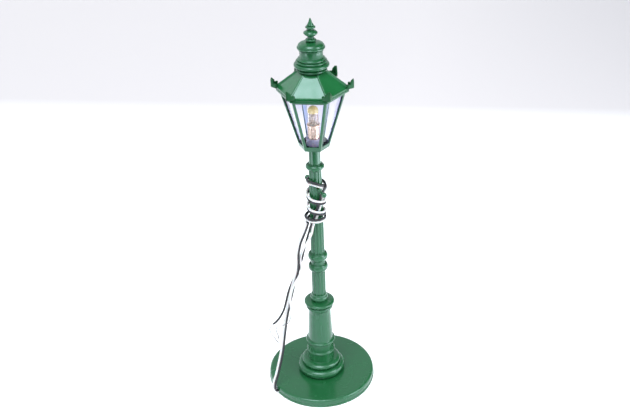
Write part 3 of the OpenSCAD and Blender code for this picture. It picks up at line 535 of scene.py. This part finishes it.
# Ladder bar: two short arms with a ball at each end, let into the shaft under the
# neck ring, where a lamplighter's ladder would lean.
def ladder_arm(angle):
    """An arm along X turned by angle: the rod's radius 0.75, then the ball's sqrt(1.4^2 - (x - 11.2)^2)."""
    x = np.concatenate([[1.8, 1.85, 3, 6], np.linspace(10.0, 12.598, 18)])
    r = np.maximum(np.sqrt(np.maximum(1.4**2 - (x - 11.2) ** 2, 0)), np.where(x < 11, 0.75, 0.04))
    a = np.linspace(0, 2 * np.pi, 40, endpoint=False)
    points = np.stack([x[:, None] + 0 * a, r[:, None] * np.cos(a), 127.9 + r[:, None] * np.sin(a)], axis=-1)
    return spun(points, angle)


arms = [ladder_arm(-60), ladder_arm(120)]
arm_faces = [[i + k * 22 * 40 for i in face] for k in (0, 1) for face in tube_faces(22, 40)]
add_mesh("ladder_bar", np.vstack([p.reshape(-1, 3) for p in arms]), arm_faces, ring_plastic, "post", "green_plastic",
         "ladder_arms", smooth=50)


# Lantern: a six-sided tapered frame moulded in one, with a tall window in each side
# and a rail round its head. Its sides lean out by about 17 degrees.
lantern_plastic = green_plastic("green, lantern", (1, 1, 0.4), flow=0.3, roughness=0.22)


def lantern_corner(z):
    """The frame's corner radius grows evenly from 7.9 at its foot to 16.9 at its rail."""
    return 7.9 + 9.0 * (z - 151.5) / 30.7


def around(apothem, along, z, side):
    """A point on side k of a hexagon: apothem outwards, along to the right, turned by 60 k + 30 degrees."""
    return spun(np.array([apothem, along, z], float), 60 * side + 30)


def frame_points(z, drop, side, along=None):
    """A point on the plane that lies drop inside a side at height z, at its corner or at that distance along."""
    apothem = lantern_corner(z) * np.cos(np.pi / 6) - drop
    return around(apothem, apothem * np.tan(np.pi / 6) if along is None else along, z, side)


def facing(tree, place, direction):
    """How far a place lies along a direction: their scalar product."""
    return node(tree, "ShaderNodeVectorMath", {0: place, 1: direction}, operation="DOT_PRODUCT").outputs["Value"]


# Inside the frame the plastic is painted dark, with less gloss and no coat, as painted shade for the shade
# inside the lantern: the painted shade begins half a millimetre in from the outer faces.
tree, shader = lantern_plastic.node_tree, lantern_plastic.node_tree.nodes["Principled BSDF"]
place = object_place(lantern_plastic)
reach = [sum_up(tree, "ABSOLUTE", facing(tree, place, (np.cos(a), np.sin(a), 0))) for a in np.radians((30, 90, 150))]
farthest = sum_up(tree, "MAXIMUM", sum_up(tree, "MAXIMUM", reach[0], reach[1]), reach[2])
outer = ramped(tree, node(tree, "ShaderNodeSeparateXYZ", {0: place}).outputs["Z"], 0.1515, 0.1822,
               0.0079 * np.cos(np.pi / 6), 0.0169 * np.cos(np.pi / 6))
painted_shade = ramped(tree, sum_up(tree, "SUBTRACT", outer, farthest), 0.0003, 0.0007)
tree.links.new(mixed(tree, painted_shade, shader.inputs["Base Color"].links[0].from_socket, (0.0008, 0.005, 0.003, 1)),
               shader.inputs["Base Color"])
tree.links.new(ramped(tree, painted_shade, 0, 1, 0.5, 0.12), shader.inputs["Specular IOR Level"])
tree.links.new(ramped(tree, painted_shade, 0, 1, 0.25, 0.0), shader.inputs["Coat Weight"])

# Fifteen points for each side: the outer corner's foot and head, the rail's foot and head, the inner
# corner's head, ledge and foot, then the window's four corners outside and inside.
window = [(-1, 154.2), (1, 154.2), (1, 180.8), (-1, 180.8)]
inner_head = lantern_corner(182.2) * np.cos(np.pi / 6) - 1
inner_foot = lantern_corner(153.0) * np.cos(np.pi / 6) - 1
points, faces = [], []
for k in range(6):
    points += [frame_points(151.5, 0, k, -lantern_corner(151.5) / 2),
               frame_points(182.2, 0, k, -lantern_corner(182.2) / 2),
               around(18.5 * np.cos(np.pi / 6), -9.25, 182.2, k), around(18.5 * np.cos(np.pi / 6), -9.25, 183.3, k),
               around(inner_head, -inner_head * np.tan(np.pi / 6), 183.3, k),
               around(inner_head, -inner_head * np.tan(np.pi / 6), 182.2, k),
               around(inner_foot, -inner_foot * np.tan(np.pi / 6), 153.0, k)]
    for drop in (0, 1):
        points += [frame_points(h, drop, k, s * (lantern_corner(h) / 2 - 1.25)) for s, h in window]
    foot, head, rail, top, lip, ledge, deep, w0, w1, w2, w3, v0, v1, v2, v3 = range(k * 15, k * 15 + 15)
    foot_n, head_n, rail_n, top_n, lip_n, ledge_n, deep_n = range((k + 1) % 6 * 15, (k + 1) % 6 * 15 + 7)
    faces += [[foot, foot_n, w1, w0], [foot_n, head_n, w2, w1], [head_n, head, w3, w2], [head, foot, w0, w3],
              [w0, w1, v1, v0], [w1, w2, v2, v1], [w2, w3, v3, v2], [w3, w0, v0, v3],
              [deep_n, deep, v0, v1], [ledge_n, deep_n, v1, v2], [ledge, ledge_n, v2, v3], [deep, ledge, v3, v0],
              [head, head_n, rail_n, rail], [rail, rail_n, top_n, top], [top, top_n, lip_n, lip],
              [lip, lip_n, ledge_n, ledge]]
faces += [[k * 15 + 6 for k in range(6)], [k * 15 for k in range(5, -1, -1)]]
lantern = add_mesh("lantern_moulding", points, faces, lantern_plastic, "post", "green_plastic", smooth=0)
cut_away(lantern, [rod_points(0, 0, 2.3, 150, 154, 64)], smooth=20)
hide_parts("lantern_frame")


def eased_edges(made, width, segments=3, angle=20):
    """A small round along every edge sharper than that angle."""
    modifier = made.modifiers.new("eased edges", "BEVEL")
    modifier.width, modifier.segments, modifier.limit_method = width * MM, segments, "ANGLE"
    modifier.angle_limit, modifier.harden_normals = np.radians(angle), True


eased_edges(lantern, 0.16)


# Glazing: one clear moulded liner that drops into the frame and closes its six
# windows. The plastic has a faint blue-violet cast.
def clear(name, colour, roughness, ior, shade=(1, 1, 1)):
    """Clear stuff: a transmitting shader for what is seen, and plain see-through for what lights it."""
    material, shader = new_material(name, colour, roughness, Transmission_Weight=1.0, IOR=ior)
    tree = material.node_tree
    path = node(tree, "ShaderNodeLightPath")
    unseen = sum_up(tree, "MAXIMUM", path.outputs["Is Shadow Ray"], path.outputs["Is Diffuse Ray"])
    through = node(tree, "ShaderNodeBsdfTransparent", {"Color": (*shade, 1)}).outputs[0]
    both = node(tree, "ShaderNodeMixShader", {0: unseen, 1: shader.outputs[0], 2: through}).outputs[0]
    tree.links.new(both, tree.nodes["Material Output"].inputs["Surface"])
    return material, shader


glazing_plastic, shader = clear("clear glazing", (0.93, 0.94, 1.0), 0.03, 1.2, (0.95, 0.95, 1.0))
tree = glazing_plastic.node_tree
haze = noise(tree, object_place(glazing_plastic, (1, 1, 0.3)), 160.0, 3.0)
tint = mixed(tree, ramped(tree, haze, 0.35, 0.7), (0.95, 0.955, 1.0, 1), (0.84, 0.83, 0.97, 1))
tree.links.new(tint, shader.inputs["Base Color"])
tree.links.new(ramped(tree, haze, 0.3, 0.7, 0.01, 0.07), shader.inputs["Roughness"])

# The two folds at the back are given a pale blue, cloudy diffuse look.
level = node(tree, "ShaderNodeVectorMath", {0: object_place(glazing_plastic, (1, 1, 0))}, operation="NORMALIZE").outputs[0]
fold = [facing(tree, level, (np.cos(a), np.sin(a), 0)) for a in np.radians((60, 120))]
nearest = sum_up(tree, "MAXIMUM", fold[0], fold[1])
fold_blue_diffuse = node(tree, "ShaderNodeBsdfDiffuse", {"Color": (0.62, 0.72, 0.95, 1)}).outputs[0]
clouded = node(tree, "ShaderNodeMixShader", {0: ramped(tree, nearest, 0.9935, 0.998, 0.0, 0.85), 2: fold_blue_diffuse})
output = tree.nodes["Material Output"].inputs["Surface"]
tree.links.new(output.links[0].from_socket, clouded.inputs[1])
tree.links.new(clouded.outputs[0], output)


def six_sided(corner, z, ease, steps=5):
    """A hexagon with rounded corners at height z: corner points R (cos 60 k, sin 60 k), each corner C
    rounded by (1-t)^2 A + 2t(1-t) C + t^2 B with A and B lying ease before and after it."""
    a = np.radians(60 * np.arange(6))
    c = corner * np.column_stack([np.cos(a), np.sin(a)])
    back, on = np.roll(c, 1, axis=0) - c, np.roll(c, -1, axis=0) - c
    reach = min(ease, 0.3 * np.linalg.norm(on[0]))
    back, on = back / np.linalg.norm(back[0]), on / np.linalg.norm(on[0])
    t = np.linspace(0, 1, steps)[None, :, None]
    bend = (1 - t) ** 2 * (c + reach * back)[:, None] + 2 * t * (1 - t) * c[:, None] + t**2 * (c + reach * on)[:, None]
    before, after = (c + 1.6 * reach * back)[:, None], (c + 1.6 * reach * on)[:, None]
    flat = np.concatenate([before, bend, after], axis=1).reshape(-1, 2)
    return np.column_stack([flat, np.full(len(flat), float(z))])


def hexagonal(rows, ease):
    """Rings of rounded hexagons for rows of (corner radius, z), one after another as a closed grid."""
    return np.stack([six_sided(r, z, ease) for r, z in rows])


def glazing_corner(z, inset):
    """The liner's corner radius: its wall lies inset inside the frame's inner face, past 0.05 of clearance."""
    return lantern_corner(z) - (1.05 + inset) / np.cos(np.pi / 6)


wall = [(153.06, 0.55), (153.06, 0.05), (153.1, 0), (160, 0), (175, 0), (182.1, 0), (182.16, 0.05), (182.16, 0.55),
        (182.1, 0.6), (175, 0.6), (160, 0.6), (153.1, 0.6)]
rows = [(glazing_corner(z, inset), z) for z, inset in wall]
add_mesh("glazing_liner", hexagonal(rows, 0.6), ring_faces(12, 42), glazing_plastic, "post", "clear_plastic",
         "glazing", smooth=30)


# Lamp socket: a drawn brass tube with a rolled rim and the bulb's thread rolled into
# it, set in a grey-violet block with its fibre washer, centre contact and side tag.
drawn, given, gives = new_group(
    "drawn metal",
    {"Place": ("vector", None), "Colour": ("colour", (0.6, 0.4, 0.2, 1)), "Tarnish": ("colour", (0.3, 0.16, 0.08, 1)),
     "Tarnishing": ("number", 0.3), "Roughness": ("number", 0.3)},
    {"Colour": "colour", "Roughness": "number", "Normal": "vector"})
along_it = node(drawn, "ShaderNodeMapping", {"Vector": given["Place"], "Scale": (1, 1, 0.06)}).outputs[0]
line = noise(drawn, along_it, 2400.0, 4.0)
stain = noise(drawn, given["Place"], 500.0, 5.0)
amount = sum_up(drawn, "MULTIPLY", ramped(drawn, stain, 0.45, 0.75), given["Tarnishing"])
lined = mixed(drawn, ramped(drawn, line, 0.35, 0.65, 0.0, 0.35), given["Colour"], (0.9, 0.8, 0.7, 1))
drawn.links.new(mixed(drawn, amount, lined, given["Tarnish"]), gives["Colour"])
drawn.links.new(sum_up(drawn, "ADD", given["Roughness"], ramped(drawn, stain, 0.3, 0.7, -0.05, 0.12)), gives["Roughness"])
drawn.links.new(node(drawn, "ShaderNodeBump", {"Strength": 0.4, "Distance": 0.00002, "Height": line}).outputs[0],
                gives["Normal"])


def metal(name, colour, tarnish, tarnishing, roughness):
    """A drawn metal with its tarnish, and fine lines along Z."""
    material, shader = new_material(name, colour, roughness, Metallic=1.0)
    return dressed(material, shader, drawn, object_place(material), Colour=(*colour, 1), Tarnish=(*tarnish, 1),
                   Tarnishing=tarnishing, Roughness=roughness)


brass = metal("drawn brass", (0.85, 0.62, 0.42), (0.66, 0.46, 0.31), 0.15, 0.26)
nickelled = metal("nickelled brass", (0.78, 0.7, 0.6), (0.45, 0.33, 0.22), 0.45, 0.28)
solder = metal("solder", (0.6, 0.6, 0.6), (0.3, 0.28, 0.26), 0.4, 0.4)
block_plastic = plain_stuff("grey-violet plastic", (0.25, 0.24, 0.32), (0.4, 0.39, 0.5), 0.5, 0.35, 1.0,
                            Subsurface_Weight=0.35, Subsurface_Scale=0.001)
turned_piece("socket_block_moulding", [(0.64, 153.0, 0.05), (4.2, 153.0, 0.15), (4.2, 156.7, 0.25), (3.15, 156.7, 0.05),
             (3.15, 155.15, 0.03), (2.65, 155.15, 0.03), (2.65, 156.7, 0.05), (0.64, 156.7, 0.05)],
             block_plastic, "post", "grey_plastic", "socket_block")


def rolled_thread(a, r, z, foot=157.6, head=163.4, runout=0.4, depth=0.06, pitch=1.0):
    """A rolled thread: depth cos(2 pi z / pitch - a), faded out within its runout of foot and head."""
    fade = np.clip((z - foot) / runout, 0, 1) * np.clip((head - z) / runout, 0, 1)
    return depth * fade * np.cos(2 * np.pi * z / pitch - a)


def rise(r, z0, z1, count):
    """A straight wall as many small steps, so that a thread can be rolled into it."""
    return [(r, z, 0.0) for z in np.linspace(z0, z1, count)]


def grooved_piece(name, rows, material, body, slot, swell, count=96, *nodes):
    """A turned piece whose outline is used as it stands, without easing."""
    profile = np.array(rows, float)[:, :2]
    points = turned_points(profile, swell, count)
    return add_mesh(name, points, ring_faces(len(profile), count), material, body, slot, *nodes, smooth=50)


grooved_piece("socket_shell", [(2.72, 155.25, 0), (3.06, 155.25, 0), (3.1, 155.3, 0)] + rise(3.1, 155.5, 163.6, 82)
              + [(3.14, 163.75, 0), (3.45, 163.82, 0), (3.5, 163.95, 0), (3.5, 164.18, 0), (3.44, 164.29, 0),
                 (2.78, 164.3, 0)]
              + rise(2.7, 164.1, 155.5, 87), brass, "post", "brass",
              rolled_thread, 96, "lamp_socket")
fibre = plain_stuff("vulcanised fibre", (0.14, 0.06, 0.03), (0.25, 0.13, 0.08), 0.7, 0.6, 1.5)
redress(fibre, "socket_washer")
redress(brass, "socket_contact", "socket_tag")


# Bulb: a clear blown glass with an amber-lacquered crown, on a nickelled screw shell
# with a black glass insulator and a soldered tip. Its filament hangs on two wires.
bulb_glass, shader = clear("clear glass", (0.96, 0.97, 0.99), 0.02, 1.45)
tree = bulb_glass.node_tree
seed = noise(tree, object_place(bulb_glass), 900.0, 2.0)
tree.links.new(node(tree, "ShaderNodeBump", {"Strength": 0.12, "Distance": 0.00003, "Height": seed}).outputs[0],
               shader.inputs["Normal"])

# A brown bloom has settled on the glass below its crown.
level = node(tree, "ShaderNodeSeparateXYZ", {0: object_place(bulb_glass)}).outputs["Z"]
below_crown = ramped(tree, level, 0.1703, 0.1712, 1.0, 0.0)
bloom = ramped(tree, noise(tree, object_place(bulb_glass, (1, 1, 0.4)), 500.0, 3.0), 0.3, 0.7, 0.12, 0.42)
brown = node(tree, "ShaderNodeBsdfDiffuse", {"Color": (0.62, 0.47, 0.32, 1)}).outputs[0]
output = tree.nodes["Material Output"].inputs["Surface"]
bloom = sum_up(tree, "MULTIPLY", bloom, below_crown)
bloomed = node(tree, "ShaderNodeMixShader", {0: bloom, 1: output.links[0].from_socket, 2: brown}).outputs[0]
tree.links.new(bloomed, output)
milk_glass = plain_stuff("milky glass", (0.62, 0.6, 0.57), (0.42, 0.4, 0.38), 0.5, 0.25, 0.6,
                         Subsurface_Weight=0.3, Subsurface_Scale=0.0008)


def dome(r, z, steps, a0=90.0, a1=0.0):
    """Part of a ball about height z: (r cos a, z + r sin a) from a0 to a1 degrees."""
    a = np.radians(np.linspace(a0, a1, steps))
    return [(max(r * c, 0.012), z + r * s, 0) for c, s in zip(np.cos(a), np.sin(a))]


wall = [(2.0, 162.3, 0), (2.31, 162.3, 0), (2.32, 164.4, 0), (2.42, 164.75, 0), (2.62, 165.1, 0), (2.7, 165.4, 0)]
inside = [(2.35, 165.4, 0), (2.28, 165.1, 0), (2.1, 164.75, 0), (1.97, 164.4, 0), (1.97, 162.4, 0)]
grooved_piece("bulb_envelope", wall + rise(2.7, 165.9, 171.0, 8) + dome(2.7, 171.4, 24, 0.0, 90.0)
              + dome(2.35, 171.4, 24) + rise(2.35, 171.0, 165.9, 8) + inside, bulb_glass, "bulb", "bulb_glass", None, 96, "bulb_glass")
lacquer, shader = clear("amber lacquer", (1.0, 0.9, 0.55), 0.12, 1.3, (1.0, 0.88, 0.5))
tree = lacquer.node_tree
pooled = ramped(tree, noise(tree, object_place(lacquer), 700.0, 3.0), 0.35, 0.7)
tree.links.new(mixed(tree, pooled, (1.0, 0.92, 0.58, 1), (1.0, 0.83, 0.4, 1)), shader.inputs["Base Color"])
shader.inputs["Transmission Weight"].default_value = 0.6
lip = [(2.74, 170.9, 0), (2.82, 170.85, 0), (2.84, 171.0, 0)]
grooved_piece("bulb_crown_film", lip + dome(2.84, 171.4, 22, 2.0, 90.0) + dome(2.72, 171.4, 22, 90.0, 2.0),
              lacquer, "bulb", "amber_lacquer", None, 96, "bulb_crown")
grooved_piece("bulb_screw_shell", [(2.36, 158.3, 0), (2.5, 158.3, 0)] + rise(2.58, 158.5, 163.9, 55)
              + [(2.6, 164.3, 0), (2.72, 164.38, 0), (2.76, 164.42, 0), (2.74, 164.5, 0), (2.38, 164.5, 0)]
              + rise(2.36, 164.2, 158.5, 58), nickelled, "bulb", "nickelled_brass",
              rolled_thread, 96, "bulb_shell")


FILAMENT_Z = 169.1


def coiled(x0, x1, radius, turns, steps):
    """A coil along X about the filament's height: y = r sin p, z = r cos p while p makes its turns."""
    p = np.linspace(0, 2 * np.pi * turns, steps)
    return np.column_stack([np.linspace(x0, x1, steps), radius * np.sin(p), FILAMENT_Z + radius * np.cos(p)])


coil = coiled(-0.9, 0.9, 0.22, 11, 200)
coil[:, 2] += 0.35 * (1 - (coil[:, 0] / 0.9) ** 2)
legs = [np.array([[s * 0.62, 0, 162.7], [s * 0.62, 0, 165], [s * 0.95, 0, 168.6], [s * 0.9, 0, 169.3]])
        for s in (-1, 1)]
points, faces = [], []
for path, size in ((coil, 0.09), (catmull(legs[0], 8), 0.14), (catmull(legs[1], 8), 0.14)):
    faces += tube_faces(len(path), 8, sum(len(p) for p in points))
    points.append(swept(path, 0 * path, size, 8).reshape(-1, 3))
wire_metal = metal("filament wire", (0.16, 0.16, 0.18), (0.08, 0.075, 0.075), 0.4, 0.4)
add_mesh("bulb_filament_coil", np.vstack(points), faces, wire_metal, "bulb", "filament_wire", "bulb_filament",
         smooth=0)
turned_piece("bulb_stem_bead", [(0.02, 162.5, 0.01), (1.6, 162.5, 0.3), (1.75, 163.9, 0.5), (0.9, 165.0, 0.35),
                                (0.02, 165.3, 0.01)], milk_glass, "bulb", "bulb_glass", "bulb_bead", count=64)
black_glass = plain_stuff("black glass", (0.006, 0.006, 0.008), (0.03, 0.03, 0.03), 0.4, 0.15, 0.5)
redress(black_glass, "bulb_insulator")
redress(solder, "bulb_contact")


# Roof: a six-sided hollow cap with a square fascia and a slim rib down each hip. It
# lifts off, and a skirt under its eaves keeps it in the lantern's head.
# The roof's green is painted lighter than the rest of the lamp's green: painted light for its better lit faces.
painted_light_roof_plastic = green_plastic("green, roof", (1, 1, 1), flow=0.4, roughness=0.17, colour=(0.0085, 0.09, 0.025))
skirt = [(13.99, 182.25), (15.49, 182.25), (15.53, 182.3), (15.53, 183.42)]
fascia = [(18.42, 183.42), (18.5, 183.5), (18.5, 183.82), (18.12, 183.88), (18.12, 183.98), (18.5, 184.04),
          (18.5, 184.5), (18.42, 184.6)]
slope = [(18.05, 184.62), (17.85, 184.73), (17.5, 185.0), (7.9, 192.43), (7.58, 192.68), (7.3, 192.8)]
hollow = [(4.2, 192.8), (4.2, 191.7), (6.05, 191.7), (14.1, 184.6), (14.0, 184.4)]
rows = skirt + fascia + slope + hollow
add_mesh("roof_moulding", hexagonal(rows, 0.22), ring_faces(len(rows), 42), painted_light_roof_plastic, "roof", "green_plastic",
         "roof", smooth=25)


def hip_rib(side, half=0.6, proud=0.5):
    """A rib along a hip: across it the height is proud (1 - (v / half)^4)^(1/2), along it the ridge runs from
    the eaves' corner to the flat top."""
    u = np.linspace(0, 1, 10)[:, None]
    v = np.linspace(-1, 1, 11)[None]
    r, z = 18.2 - 10.7 * u + 0 * v, 184.6 + 8.15 * u + 0 * v
    lift = proud * np.sqrt(np.maximum(1 - v**4, 0)) + 0 * u
    slope = np.array([8.15, 10.7]) / np.hypot(8.15, 10.7)
    over = np.stack([r + lift * slope[0], half * v + 0 * u, z + lift * slope[1] - 0.02], axis=-1)
    under = np.stack([r - 0.9 * slope[0], half * v + 0 * u, z - 0.9 * slope[1] - 0.1], axis=-1)
    return spun(np.concatenate([over, under[:, ::-1]], axis=1), 60 * side)


ribs = np.concatenate([hip_rib(k).reshape(-1, 3) for k in range(6)])
rib_faces = []
for k in range(6):
    rib_faces += [face[::-1] for face in tube_faces(10, 22, k * 220)]
add_mesh("roof_hip_ribs", ribs, rib_faces, painted_light_roof_plastic, "roof", "green_plastic", smooth=40)


# Crests: a small pointed leaf folded round each corner of the eaves, with a lower
# lobe on either side, moulded on a web.
# The crests are the roof's green plastic painted darker, with a weaker specular and no coat: painted shade.
painted_shade_crest_plastic = green_plastic("green, crests", (1, 1, 1), flow=0.3, roughness=0.36, colour=(0.005, 0.055, 0.015))
tree, shader = painted_shade_crest_plastic.node_tree, painted_shade_crest_plastic.node_tree.nodes["Principled BSDF"]
shader.inputs["Specular IOR Level"].default_value = 0.2
tree.links.remove(shader.inputs["Coat Weight"].links[0])


def leaf(length, top=4.3, thick=0.9):
    """Half a crest as a closed cushion: its outline is drawn in from the middle M by s, as M + s (C - M), and its
    two faces bulge by thick (1 - s^6)^(1/2) / 2."""
    a, b = np.radians(np.linspace(-50, 130, 9)), np.radians(np.linspace(-20, 60, 7))
    outline = np.array([(-0.45, -0.5), (length * 0.5, -0.5), (length - 0.3, -0.45)]
                       + [(length - 0.85 + 0.85 * np.cos(t), 1 + 0.85 * np.sin(t)) for t in a] + [(length * 0.52, 1.7)]
                       + [(length * 0.27 + 0.6 * np.cos(t), top * 0.6 + 0.6 * np.sin(t)) for t in b]
                       + [(0.1, top), (-0.1, top), (-0.45, top - 0.9), (-0.45, top * 0.5)])
    middle = np.array([length * 0.22, 1.3])
    s = np.array([0.02, 0.35, 0.6, 0.8, 0.92, 1.0])
    flat = middle + s[:, None, None] * (outline - middle)[None]
    bulge = thick / 2 * np.sqrt(np.maximum(1 - (s * 0.985) ** 6, 0))[:, None] + 0 * flat[..., 0]
    front = np.stack([flat[..., 0], -bulge - thick / 2, flat[..., 1]], axis=-1)
    back = np.stack([flat[..., 0], bulge - thick / 2, flat[..., 1]], axis=-1)
    return np.concatenate([front, back[::-1]])


tip = np.array([20.2, 0.0])
back = np.array([17.35, 2.35])
lean = np.degrees(np.arctan2(back[1] - tip[1], back[0] - tip[0]))
wing = leaf(float(np.linalg.norm(back - tip)))
rings, sides = wing.shape[:2]
points, faces = [], []
for k in range(6):
    for flip in (1, -1):
        placed = spun(wing, lean) + [tip[0], 0, 184.7]
        placed = placed * [1, flip, 1]
        made = tube_faces(rings, sides, sum(len(p) for p in points))
        faces += made if flip == -1 else [face[::-1] for face in made]
        points.append(spun(placed, 60 * k).reshape(-1, 3))
    web = np.array([(tip[0], 0), (back[0], back[1]), (18.55, 0), (back[0], -back[1])])
    web = np.concatenate([np.column_stack([web, np.full(4, h)]) for h in (184.3, 185.2)])
    start = sum(len(p) for p in points)
    faces += tube_faces(2, 4, start)
    points.append(spun(web, 60 * k).reshape(-1, 3))
add_mesh("roof_crest_leaves", np.vstack(points), faces, painted_shade_crest_plastic, "roof", "green_plastic", "roof_crests",
         smooth=50)


# Vent and finial: turned-looking mouldings stacked on the roof: three steps of rings,
# a plain drum, a domed cap with a double lip, and a finial whose stud holds them all.
vent_plastic = green_plastic("green, vent", (1, 1, 1), flow=0.35, roughness=0.2)
z, r = 192.8, 8.9
turned_piece("vent_ring_moulding", [(1.25, 191.7, 0.05), (3.95, 191.7, 0.15), (3.95, z, 0.02), (r - 3.2, z, 0.05),
             (r - 3.2, z + 0.5, 0.1)] + bead(r - 2.4, r - 1.1, z + 0.6, 1.4) + [(r - 1.6, z + 2.1, 0.05)] + bead(r - 1.1, r, z + 2.5, 2.2)
             + [(r - 1.6, z + 4.9, 0.05)] + bead(r - 1.7, r - 1.05, z + 5, 1) + [(r - 2.4, z + 6, 0.03)]
             + bead(r - 2.4, r - 1.9, z + 6.1, 1) + [(5.85, z + 7.6, 0.05), (1.25, z + 7.6, 0.05)],
             vent_plastic, "roof", "green_plastic", "vent_rings", count=192)
waist = [(5.9 - 0.08 * np.sin(np.radians(22.5 * i)), 200.4 + 3.2 * i / 8, 0.01) for i in range(9)]
turned_piece("vent_drum_moulding", [(1.25, 200.4, 0.03)] + waist + [(1.25, 203.6, 0.03)], vent_plastic, "roof",
             "green_plastic", "vent_drum", count=192)
z, r = 203.6, 7.05
dome_top = [(2.3 + (r - 2.75) * np.cos(t) ** 0.9, z + 2.35 + 2.1 * np.sin(t), 0.0)
            for t in np.radians(np.linspace(0, 84, 15))]
turned_piece("vent_cap_moulding", [(1.25, z, 0.03), (6.0, z, 0.03)] + bead(r - 1.1, r - 0.7, z + 0.15, 0.8)
             + bead(r - 0.5, r - 0.02, z + 1.15, 1.0) + dome_top + [(1.25, z + 4.6, 0.03)], vent_plastic, "roof",
             "green_plastic", "vent_cap", count=192)
z, r = 209.4, 3.5
ball = [(1.55 + (r - 1.55) * np.sin(np.radians(15 * i)), z + 1.35 + 3.4 * i / 12, 0.0) for i in range(13)]
turned_piece("finial_moulding", [(0.02, 192.8, 0.01), (1.2, 192.8, 0.1), (1.2, z - 1.2, 0.02), (1.9, z - 1.2, 0.02)]
             + bead(1.95, 2.7, z - 1.1, 1.3) + [(1.6, z + 0.4, 0.1)] + ball + [(1.45, z + 5.0, 0.1)]
             + bead(1.5, 2.55, z + 5.3, 1.25) + [(1.75, z + 6.9, 0.15), (1.15, z + 7.9, 0.2), (0.75, z + 8.9, 0.2), (0.4, z + 10, 0.2),
             (0.02, z + 10.5, 0.01)], vent_plastic, "roof", "green_plastic", "finial", count=128)


# Studio: a pale floor whose far part is a faintly lavender backdrop, lit by soft patches
# of the surround and three panels, with a dark card in front as painted shade for the plastic to reflect.
bpy.context.scene.view_settings.view_transform = "Standard"
bpy.context.scene.view_settings.look = "None"
paper, shader = new_material("pale floor", (0.93, 0.95, 0.95), 0.7, Specular_IOR_Level=0.1)
tree = paper.node_tree
spot = node(tree, "ShaderNodeSeparateXYZ", {0: object_place(paper)}).outputs
behind = mixed(tree, ramped(tree, spot["X"], 0.05, 0.45), (0.53, 0.51, 0.52, 1), (0.4, 0.39, 0.405, 1))
tree.links.new(mixed(tree, ramped(tree, spot["Y"], 0.29, 0.404), (0.93, 0.955, 0.96, 1), behind), shader.inputs["Base Color"])


def sheet(name, material, west, east, south, north, z):
    """A flat sheet of the stage."""
    data = bpy.data.meshes.new(name)
    data.from_pydata([(west, south, z), (east, south, z), (east, north, z), (west, north, z)], [], [(0, 1, 2, 3)])
    data.materials.append(material)
    made = bpy.data.objects.new(name, data)
    bpy.context.scene.collection.objects.link(made)
    return made


sheet("floor", paper, -3, 3, -2, 3, 0)
world = bpy.data.worlds.new("studio")
world.use_nodes = True
tree = world.node_tree
toward = node(tree, "ShaderNodeTexCoord").outputs["Generated"]


def patch(direction, edge, middle, low, high):
    """A soft round patch of the surround: low where the cosine to its direction is under edge, high over middle."""
    return node(tree, "ShaderNodeMapRange", {0: facing(tree, toward, direction), 1: edge, 2: middle, 3: low, 4: high},
                interpolation_type="SMOOTHSTEP").outputs[0]


# The surround's own light fades to dark at the right behind; then a bright patch overhead, a faint one
# at the left behind and a faint one in front.
glow = patch((0.725, 0.375, 0.578), 0.72, 0.92, 0.95, 0.08)
for direction, edge, middle, high in (((-0.109, -0.401, 0.909), 0.925, 0.975, 9.0),
                                      ((-0.798, 0.459, 0.389), 0.8, 0.95, 0.5), ((0.0, -0.8, 0.6), 0.55, 0.95, 0.5)):
    glow = sum_up(tree, "ADD", glow, patch(direction, edge, middle, 0.0, high))
background = tree.nodes["Background"]
background.inputs["Color"].default_value = (0.93, 0.965, 1.0, 1)
tree.links.new(glow, background.inputs["Strength"])
bpy.context.scene.world = world
# The dark card is painted shade: a sheet unseen by the camera that stands for the shaded floor in front of the lamp, so
# the plastic reflects dark there.
card, shader = new_material("dark card", (0.03, 0.04, 0.035), 0.8)
tree = card.node_tree
shade_mottle = noise(tree, object_place(card), 300.0, 4.0)
tree.links.new(mixed(tree, shade_mottle, (0.02, 0.03, 0.025, 1), (0.05, 0.06, 0.055, 1)), shader.inputs["Base Color"])
sheet("card", card, -0.22, 0.14, -0.8, -0.25, 0.002).visible_camera = False


def panel(name, place, aim, size, watts):
    """A soft rectangular light at a place, turned so that it faces a point."""
    light = bpy.data.lights.new(name, "AREA")
    light.shape, light.size, light.size_y, light.energy, light.color = "RECTANGLE", *size, watts, (0.95, 0.98, 1.0)
    made = bpy.data.objects.new(name, light)
    bpy.context.scene.collection.objects.link(made)
    back = np.array(place, float) - np.array(aim, float)
    back /= np.linalg.norm(back)
    side = np.cross([0, 0, 1], back) / np.linalg.norm(np.cross([0, 0, 1], back))
    turned_to = Matrix(np.column_stack([side, np.cross(back, side), back]).tolist()).to_4x4()
    made.matrix_world = Matrix.Translation(place) @ turned_to


panel("right strip", (0.5, -0.12, 0.42), (0, 0, 0.12), (0.25, 0.45), 2.6)
panel("low right", (0.25, -0.02, 0.04), (0, 0, 0.13), (0.22, 0.09), 0.3)
panel("low left", (-0.2, -0.19, 0.035), (0, 0, 0.13), (0.1, 0.08), 0.1)
